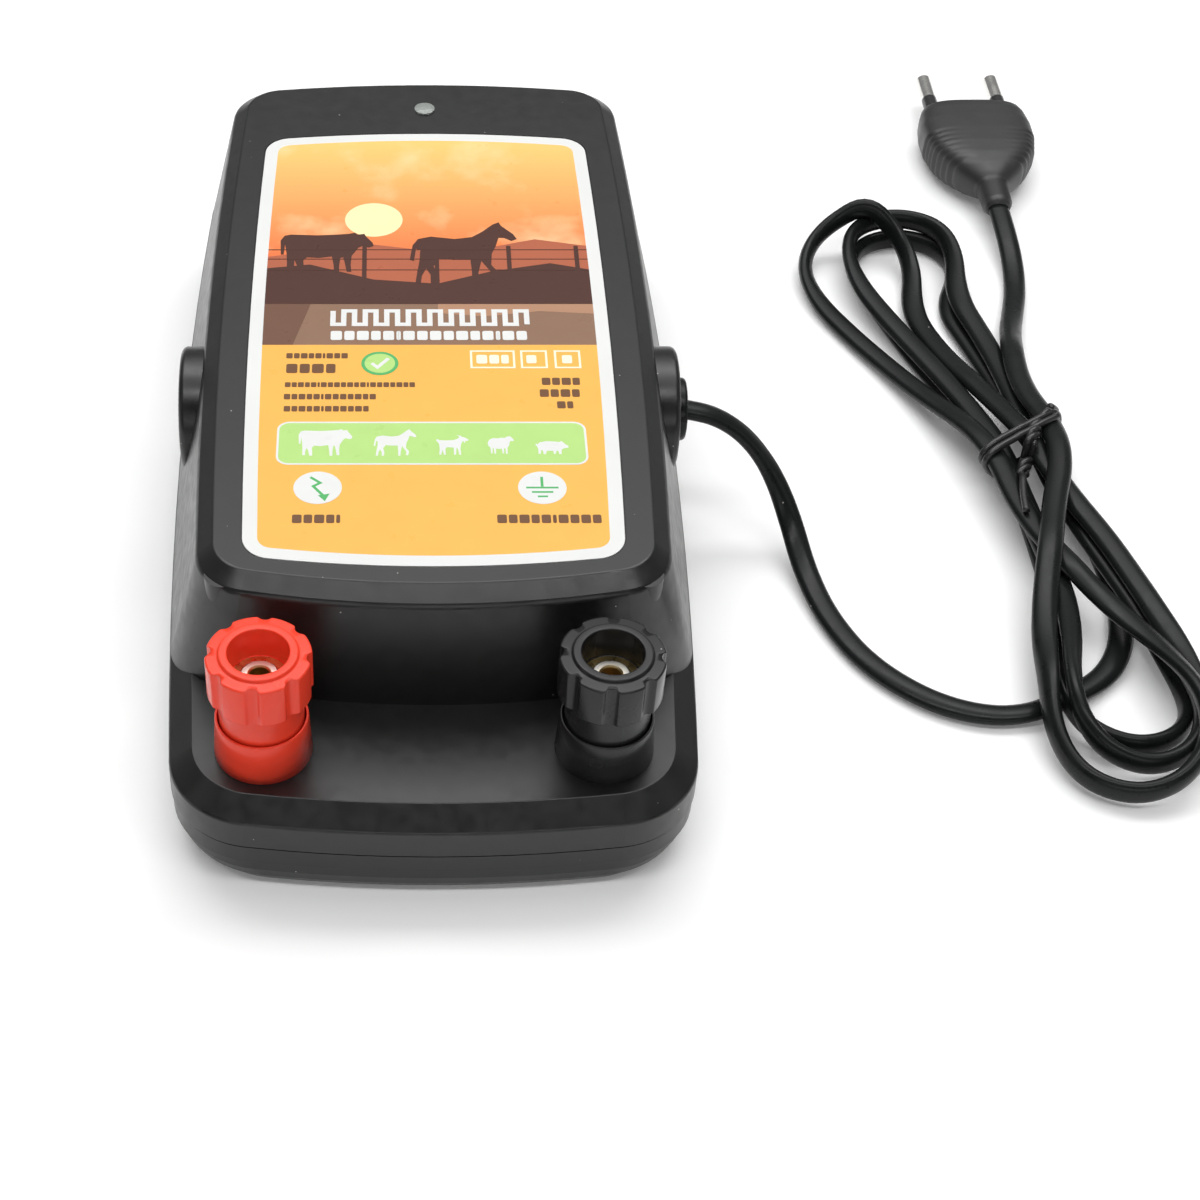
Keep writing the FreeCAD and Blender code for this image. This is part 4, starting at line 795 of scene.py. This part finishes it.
def make_tie(material, line, tilt):
    """Plastic-covered wire: two turns round the waist, a twisted pair and its free ends."""
    across = np.array((math.cos(math.radians(TIE_ANGLE)), math.sin(math.radians(TIE_ANGLE))))
    forward = np.array((-across[1], across[0]))
    offset = line[:, :2] - np.array(HANK_WAIST)
    reach, ahead = offset @ across, offset @ forward
    vertices, faces = [], []

    def add_wire(control):
        more, sides = skin_rings(round_rings(spline_points(control), TIE_WIRE))
        faces.extend([tuple(index + len(vertices) for index in side) for side in sides])
        vertices.extend(more)

    coil = []
    for step in range(TIE_TURN_POINTS * TIE_TURNS + 1):
        around = 2.0 * math.pi * step / TIE_TURN_POINTS + TIE_FIRST
        shift = (step / TIE_TURN_POINTS - 0.5 * TIE_TURNS) * TIE_PITCH
        bundle = (np.abs(ahead - shift) < TIE_SLICE) & (np.abs(reach) < TIE_REACH)
        flat, up = hull_point(reach[bundle], line[bundle, 2], tilt[bundle], around)
        place = np.array(HANK_WAIST) + across * flat + forward * shift
        coil.append((place[0], place[1], max(up, TIE_WIRE)))
    add_wire(coil)
    start, end = np.array(TIE_TWIST_START), np.array(TIE_TWIST_END)
    for phase in (0.0, math.pi):
        pair = []
        for step in range(TIE_TWIST_POINTS):
            share = step / (TIE_TWIST_POINTS - 1)
            x, y = start + (end - start) * share
            turn = phase + share * TIE_TWIST_TURNS * 2.0 * math.pi
            pair.append((x + TIE_WIRE * math.cos(turn), y,
                         cord_top(line, tilt, x, y) + 2.0 * TIE_WIRE + TIE_WIRE * math.sin(turn)))
        add_wire(pair)
    for tail in TIE_ENDS:
        add_wire(laid_over(tail, line, tilt))
    tie = mesh_object("wire_tie", vertices, faces)
    return finish_piece(tie, material, replaced=("hank_tie",))


# ---------------------------------------------------------------- printed label
def clipped(points, outline):
    """The part of a polygon inside a convex anticlockwise outline."""
    for index, start in enumerate(outline):
        end = outline[(index + 1) % len(outline)]
        edge = (end[0] - start[0], end[1] - start[1])

        def depth(point):
            return edge[0] * (point[1] - start[1]) - edge[1] * (point[0] - start[0])

        kept = []
        for number, point in enumerate(points):
            before = points[number - 1]
            here, last = depth(point), depth(before)
            if (here < 0.0) != (last < 0.0):
                share = last / (last - here)
                kept.append(tuple(b + (p - b) * share for b, p in zip(before, point)))
            if here >= 0.0:
                kept.append(point)
        points = kept
    return points


def label_field(inset):
    """Outline of the printed field: the film's outline moved in, anticlockwise."""
    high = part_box("front_label")[1].z
    film = [(v.co.x / MM, v.co.y / MM) for v in nodes["front_label"].data.vertices if v.co.z > high - 0.00002]
    middle = Vector((0.0, 0.5 * (min(p[1] for p in film) + max(p[1] for p in film))))
    film = sorted(set((round(x, 3), round(y, 3)) for x, y in film),
                  key=lambda p: math.atan2(p[1] - middle.y, p[0]))
    field = []
    for index, point in enumerate(film):
        along = Vector(film[(index + 1) % len(film)]) - Vector(film[index - 1])
        inward = Vector((-along.y, along.x)).normalized()
        field.append(tuple(Vector(point) + inward * inset))
    return field


def box_shape(x0, x1, y0, y1, corner=0.0):
    if corner <= 0.0:
        return [(x0, y0), (x1, y0), (x1, y1), (x0, y1)]
    points = []
    for x, y, first in ((x1 - corner, y0 + corner, 270), (x1 - corner, y1 - corner, 0),
                        (x0 + corner, y1 - corner, 90), (x0 + corner, y0 + corner, 180)):
        for step in range(7):
            around = math.radians(first + 15 * step)
            points.append((x + corner * math.cos(around), y + corner * math.sin(around)))
    return points


def disc_shape(x, y, radius, steps=48):
    return [(x + radius * math.cos(2 * math.pi * s / steps), y + radius * math.sin(2 * math.pi * s / steps))
            for s in range(steps)]


def stroke_shape(points, width):
    """Outline of a bent line of the given width, with mitred corners and square ends."""
    runs = [(Vector(b) - Vector(a)).normalized() for a, b in zip(points, points[1:])]
    left, right = [], []
    for index, point in enumerate(points):
        before = runs[max(index - 1, 0)]
        after = runs[min(index, len(runs) - 1)]
        side = Vector((-before.y - after.y, before.x + after.x)).normalized()
        reach = 0.5 * width / max(0.4, side.dot(Vector((-after.y, after.x))))
        left.append(tuple(Vector(point) + side * reach))
        right.append(tuple(Vector(point) - side * reach))
    return right + left[::-1]


def word_shapes(x0, x1, y0, y1, words=1):
    """A printed word or line as a row of plain blocks."""
    height = y1 - y0
    blocks = []
    x, index, word_end = x0, 0, 0
    while x < x1 - BLOCK_LEAST * height:
        width = min(BLOCK_WIDTHS[index % len(BLOCK_WIDTHS)] * height, x1 - x)
        blocks.append(box_shape(x, x + width, y0, y1, BLOCK_GAP * height))
        index += 1
        word_end += 1
        x += width + BLOCK_GAP * height
        if words > 1 and word_end == 5 + index % 3:
            x += WORD_GAP * height
            word_end = 0
    return blocks


def placed(shape, x0, x1, y0, y1):
    return [(x0 + (x1 - x0) * x, y0 + (y1 - y0) * y) for x, y in shape]


COW = (
    (0.02, 0.45), (0.01, 0.8), (0.05, 0.92), (0.12, 0.95), (0.4, 0.93), (0.62, 0.95), (0.74, 0.97),
    (0.8, 1.0), (0.83, 0.95), (0.9, 0.97), (0.92, 0.9), (0.99, 0.74), (1.0, 0.66), (0.95, 0.62),
    (0.88, 0.66), (0.84, 0.62), (0.8, 0.5), (0.77, 0.42), (0.76, 0.2), (0.77, 0.02), (0.72, 0.02),
    (0.7, 0.22), (0.68, 0.38), (0.65, 0.36), (0.64, 0.18), (0.64, 0.0), (0.59, 0.0), (0.58, 0.2),
    (0.56, 0.4), (0.42, 0.36), (0.3, 0.38), (0.26, 0.3), (0.27, 0.14), (0.27, 0.0), (0.22, 0.0),
    (0.2, 0.16), (0.17, 0.3), (0.14, 0.16), (0.14, 0.02), (0.09, 0.02), (0.09, 0.22), (0.08, 0.48),
    (0.06, 0.7), (0.05, 0.45),
)
HORSE = (
    (0.0, 0.38), (0.03, 0.62), (0.08, 0.72), (0.2, 0.76), (0.42, 0.72), (0.58, 0.75), (0.68, 0.84),
    (0.78, 0.96), (0.84, 1.0), (0.86, 0.94), (0.97, 0.8), (1.0, 0.72), (0.95, 0.69), (0.88, 0.74),
    (0.83, 0.74), (0.8, 0.6), (0.76, 0.48), (0.75, 0.3), (0.82, 0.16), (0.8, 0.02), (0.75, 0.02),
    (0.76, 0.15), (0.69, 0.3), (0.66, 0.36), (0.63, 0.18), (0.62, 0.0), (0.57, 0.0), (0.57, 0.2),
    (0.56, 0.38), (0.4, 0.38), (0.28, 0.4), (0.22, 0.28), (0.25, 0.14), (0.24, 0.0), (0.19, 0.0),
    (0.19, 0.14), (0.15, 0.24), (0.11, 0.12), (0.1, 0.0), (0.05, 0.0), (0.07, 0.2), (0.09, 0.36),
    (0.1, 0.54), (0.06, 0.56), (0.04, 0.36),
)
GOAT = (
    (0.0, 0.72), (0.04, 0.8), (0.1, 0.74), (0.3, 0.72), (0.55, 0.74), (0.68, 0.82), (0.72, 0.92),
    (0.62, 1.0), (0.76, 0.96), (0.8, 0.9), (0.9, 0.86), (1.0, 0.76), (0.97, 0.7), (0.9, 0.7), (0.88, 0.58),
    (0.84, 0.7), (0.8, 0.66), (0.76, 0.5), (0.74, 0.3), (0.76, 0.0), (0.7, 0.0), (0.66, 0.32), (0.62, 0.34),
    (0.6, 0.0), (0.54, 0.0), (0.54, 0.36), (0.34, 0.38), (0.28, 0.3), (0.29, 0.0), (0.23, 0.0), (0.2, 0.26),
    (0.15, 0.0), (0.09, 0.0), (0.11, 0.32), (0.09, 0.56), (0.04, 0.66),
)
SHEEP = (
    (0.0, 0.55), (0.04, 0.7), (0.12, 0.8), (0.24, 0.85), (0.38, 0.83), (0.52, 0.87), (0.66, 0.86),
    (0.74, 0.93), (0.86, 0.95), (0.92, 0.86), (1.0, 0.74), (0.95, 0.68), (0.86, 0.7), (0.82, 0.58),
    (0.8, 0.44), (0.73, 0.32), (0.74, 0.0), (0.67, 0.0), (0.66, 0.3), (0.6, 0.28), (0.6, 0.02),
    (0.54, 0.02), (0.52, 0.27), (0.4, 0.26), (0.3, 0.28), (0.3, 0.0), (0.24, 0.0), (0.22, 0.3), (0.18, 0.3),
    (0.17, 0.02), (0.11, 0.02), (0.1, 0.34), (0.03, 0.42),
)
PIG = (
    (0.0, 0.7), (0.03, 0.8), (0.06, 0.72), (0.14, 0.88), (0.35, 0.97), (0.58, 0.94), (0.72, 0.9),
    (0.8, 0.98), (0.85, 0.86), (0.92, 0.72), (1.0, 0.6), (0.99, 0.48), (0.92, 0.46), (0.84, 0.42),
    (0.78, 0.32), (0.77, 0.0), (0.7, 0.0), (0.68, 0.26), (0.62, 0.24), (0.6, 0.02), (0.54, 0.02),
    (0.53, 0.25), (0.34, 0.25), (0.3, 0.0), (0.23, 0.0), (0.22, 0.28), (0.17, 0.3), (0.14, 0.02),
    (0.08, 0.02), (0.08, 0.4), (0.05, 0.6),
)
HILLS = ((-40.0, 12.7), (40.0, 12.7), (40.0, 24.0), (27.0, 27.5), (14.0, 24.5), (2.0, 20.0), (-12.0, 21.5),
         (-26.0, 27.0), (-40.0, 25.0))
FAR_HILLS = ((-40.0, 12.7), (40.0, 12.7), (40.0, 33.0), (24.0, 36.5), (6.0, 31.0), (-12.0, 34.5),
             (-40.0, 29.0))


def label_shapes():
    """All printed shapes as (ink, layer, outline), from the lowest layer up."""
    field = label_field(LABEL_MARGIN)
    wide = FIELD_HALF_WIDTH
    shapes = [
        ("orange", 0, clipped(field, box_shape(-wide, wide, -FIELD_END, BAND_LOW))),
        ("brown", 0, clipped(field, box_shape(-wide, wide, BAND_LOW, BAND_HIGH))),
        ("sunset", 0, clipped(field, box_shape(-wide, wide, BAND_HIGH, FIELD_END))),
        ("sun", 1, disc_shape(-12.0, 44.0, 6.5)),
        ("far_hill", 2, clipped(list(FAR_HILLS), field)),
        ("dusk", 3, clipped(list(HILLS), field)),
        ("dusk", 4, placed(HORSE, -4.0, 20.0, 20.0, 43.0)),
        ("dusk", 4, placed(COW, -33.0, -12.0, 24.0, 39.0)),
        ("shade", 2, clipped([(-40.0, BAND_LOW), (-29.0, BAND_LOW),
                              (-25.5, BAND_HIGH), (-40.0, BAND_HIGH)], field)),
        ("glow", 1, clipped([(-31.5, BAND_LOW), (-29.0, BAND_LOW),
                             (-25.5, BAND_HIGH), (-27.0, BAND_HIGH)], field)),
        ("glow", 1, clipped([(2.0, 9.5), (12.0, 8.4), (24.0, 10.2),
                             (36.5, 9.2), (36.5, 12.7), (2.0, 12.7)], field)),
        ("white", 4, box_shape(-31.3, 31.4, -40.1, -26.8, 2.5)),
        ("green", 5, box_shape(-30.85, 30.95, -39.65, -27.25, 2.1)),
        ("white", 6, placed(COW, -27.0, -16.0, -37.4, -29.2)),
        ("white", 6, placed(HORSE, -11.7, -3.0, -37.4, -29.2)),
        ("white", 6, placed(GOAT, 0.9, 7.5, -37.1, -31.0)),
        ("white", 6, placed(SHEEP, 11.3, 16.7, -36.8, -31.1)),
        ("white", 6, placed(PIG, 20.9, 27.6, -36.9, -32.8)),
        ("symbol", 5, disc_shape(-10.5, -7.8, 3.9)),
        ("green", 6, disc_shape(-10.5, -7.8, 3.2)),
        ("white", 5, disc_shape(-22.7, -47.0, 4.8)),
        ("white", 5, disc_shape(21.7, -47.0, 4.8)),
        ("symbol", 7, [(-21.2, -51.0), (-20.3, -48.8), (-22.6, -49.3)]),
    ]
    for x in FENCE_POSTS:
        shapes.append(("dusk", 5, clipped(box_shape(x - 0.5, x + 0.5, 18.0, 34.0, 0.3), field)))
    for y in FENCE_WIRES:
        shapes.append(("dusk", 6, clipped(box_shape(-40.0, 40.0, y - 0.12, y + 0.12), field)))
    lines = (
        ("white", 5, (-21.0, 22.0, 0.1, 3.2), 2),
        ("text", 5, (-30.2, -17.2, -6.1, -4.4), 2), ("text", 5, (-30.1, -19.1, -11.0, -8.0), 1),
        ("text", 5, (-30.2, -3.2, -15.6, -14.1), 2), ("text", 5, (-30.3, -10.9, -19.6, -17.9), 2),
        ("text", 5, (-30.2, -12.7, -23.5, -21.8), 2), ("text", 5, (23.2, 31.6, -14.9, -12.6), 1),
        ("text", 5, (22.6, 31.6, -18.8, -16.4), 1), ("text", 5, (26.0, 29.3, -22.5, -20.3), 1),
        ("text", 5, (-27.5, -18.1, -57.3, -54.9), 1), ("text", 5, (12.5, 32.8, -57.3, -54.9), 1),
        ("cream", 6, (9.8, 16.6, -7.9, -5.0), 1), ("cream", 6, (20.3, 23.6, -7.8, -5.1), 1),
        ("cream", 6, (27.8, 30.2, -7.8, -5.1), 1),
    )
    for ink, layer, (x0, x1, y0, y1), words in lines:
        shapes += [(ink, layer, block) for block in word_shapes(x0, x1, y0, y1, words)]
    for x0, x1 in ((8.7, 17.7), (19.3, 24.5), (26.4, 31.5)):
        frame_line = ((x0, -6.0), (x0, -9.2), (x1, -9.2), (x1, -3.7), (x0, -3.7), (x0, -5.95))
        shapes.append(("cream", 5, stroke_shape(frame_line, 0.45)))
    pulses = []
    for step in range(PULSE_STEPS):
        x = PULSE_START + PULSE_PITCH * step
        pulses += [(x, PULSE_LOW), (x, PULSE_HIGH)] if step % 2 else [(x, PULSE_HIGH), (x, PULSE_LOW)]
    bolt = ((-24.2, -43.9), (-22.2, -45.6), (-23.6, -46.6), (-21.6, -49.3))
    shapes += [
        ("white", 5, stroke_shape(pulses, 1.15)),
        ("white", 7, stroke_shape(((-12.2, -7.8), (-11.0, -9.2), (-8.7, -6.2)), 0.8)),
        ("symbol", 6, stroke_shape(bolt, 0.6)),
        ("symbol", 6, stroke_shape(((21.7, -43.8), (21.7, -46.7)), 0.55)),
    ]
    for half, y in ((3.2, -47.0), (2.1, -48.3), (1.0, -49.6)):
        shapes.append(("symbol", 6, stroke_shape(((21.7 - half, y), (21.7 + half, y)), 0.5)))
    return shapes


INKS = {
    "orange": srgb(242, 181, 86), "brown": srgb(140, 109, 88), "white": srgb(224, 225, 223),
    "green": srgb(178, 216, 128), "symbol": srgb(84, 176, 104), "text": srgb(112, 78, 52),
    "cream": srgb(255, 240, 214), "sun": srgb(255, 236, 180), "far_hill": srgb(176, 98, 70),
    "dusk": srgb(78, 48, 40), "shade": srgb(113, 81, 65), "glow": srgb(176, 134, 106),
}


def make_ink(name, colour):
    finish = Finish("ink_" + name, LABEL_ROUGHNESS, specular=SPECULAR["label_film"])
    return finish.close(finish.varied(colour, 0.02, 6.0), 0.5, 0.003)


def make_sunset_ink():
    """Sky that goes from red-orange above the hills to pale yellow, with soft cloud bands."""
    finish = Finish("ink_sunset", LABEL_ROUGHNESS, specular=SPECULAR["label_film"])
    split = finish.add("ShaderNodeSeparateXYZ", (("Vector", finish.place),))
    height = finish.span(split.outputs["Y"], 0.0, 1.0, 0.030, 0.078)
    sky = finish.mix(height, srgb(232, 120, 70), srgb(255, 205, 120))
    clouds = finish.span(finish.noise(14.0, 5.0), 0.0, 0.55, 0.5, 0.75)
    return finish.close(finish.mix(clouds, sky, srgb(255, 226, 176)), 0.5, 0.003)


def make_label():
    """Thin printed layers on the label film."""
    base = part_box("front_label")[1].z / MM
    inks = [*INKS, "sunset"]
    vertices, faces, ink_of_face = [], [], []
    for ink, layer, outline in label_shapes():
        if len(outline) < 3:
            continue
        first, count = len(vertices), len(outline)
        for z in (base - 0.05, base + INK_LAYER * (layer + 1)):
            vertices += [metres((x, y, z)) for x, y in outline]
        made = [tuple(range(first, first + count)), tuple(range(first + count, first + 2 * count))]
        made += [(first + s, first + (s + 1) % count, first + count + (s + 1) % count, first + count + s)
                 for s in range(count)]
        faces += made
        ink_of_face += [inks.index(ink)] * len(made)
    label = mesh_object("label_print", vertices, faces, smooth=False)
    for name in INKS:
        label.data.materials.append(make_ink(name, INKS[name]))
    label.data.materials.append(make_sunset_ink())
    label.data.polygons.foreach_set("material_index", ink_of_face)
    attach(label, "case")


# ---------------------------------------------------------------- the scene
def dress_cad_nodes():
    """Give every CAD node the finish of its material slot."""
    made = {}
    for name, node in nodes.items():
        slot = node.data.materials[0].name.split(".")[0]
        if slot not in made:
            made[slot] = SPECIAL_FINISHES.get(slot, make_slot_material)(slot)
        for index in range(len(node.data.materials)):
            node.data.materials[index] = made[slot]
    return made


bpy.context.scene.view_settings.view_transform = "Standard"
make_camera()
make_world()
for arch_lamp in ARCH_LAMPS:
    make_arch_lamp(*arch_lamp)
for lamp_name, lamp_place in SIDE_LAMPS:
    make_softbox(lamp_name, lamp_place, ARCH_CENTRE, *SIDE_LAMP_SIZE, SIDE_RADIANCE)
finishes = dress_cad_nodes()
make_floor(make_floor_material())
cord, cord_line, cord_tilt = make_cord(finishes["lead_pvc"])
make_bushing(finishes["lead_pvc"])
plug = make_plug(finishes["plug_pvc"])
tie = make_tie(finishes["tie_plastic"], cord_line, cord_tilt)
make_post("red", -1, finishes["red_plastic"])
make_post("black", 1, finishes["black_post_plastic"])
make_label()
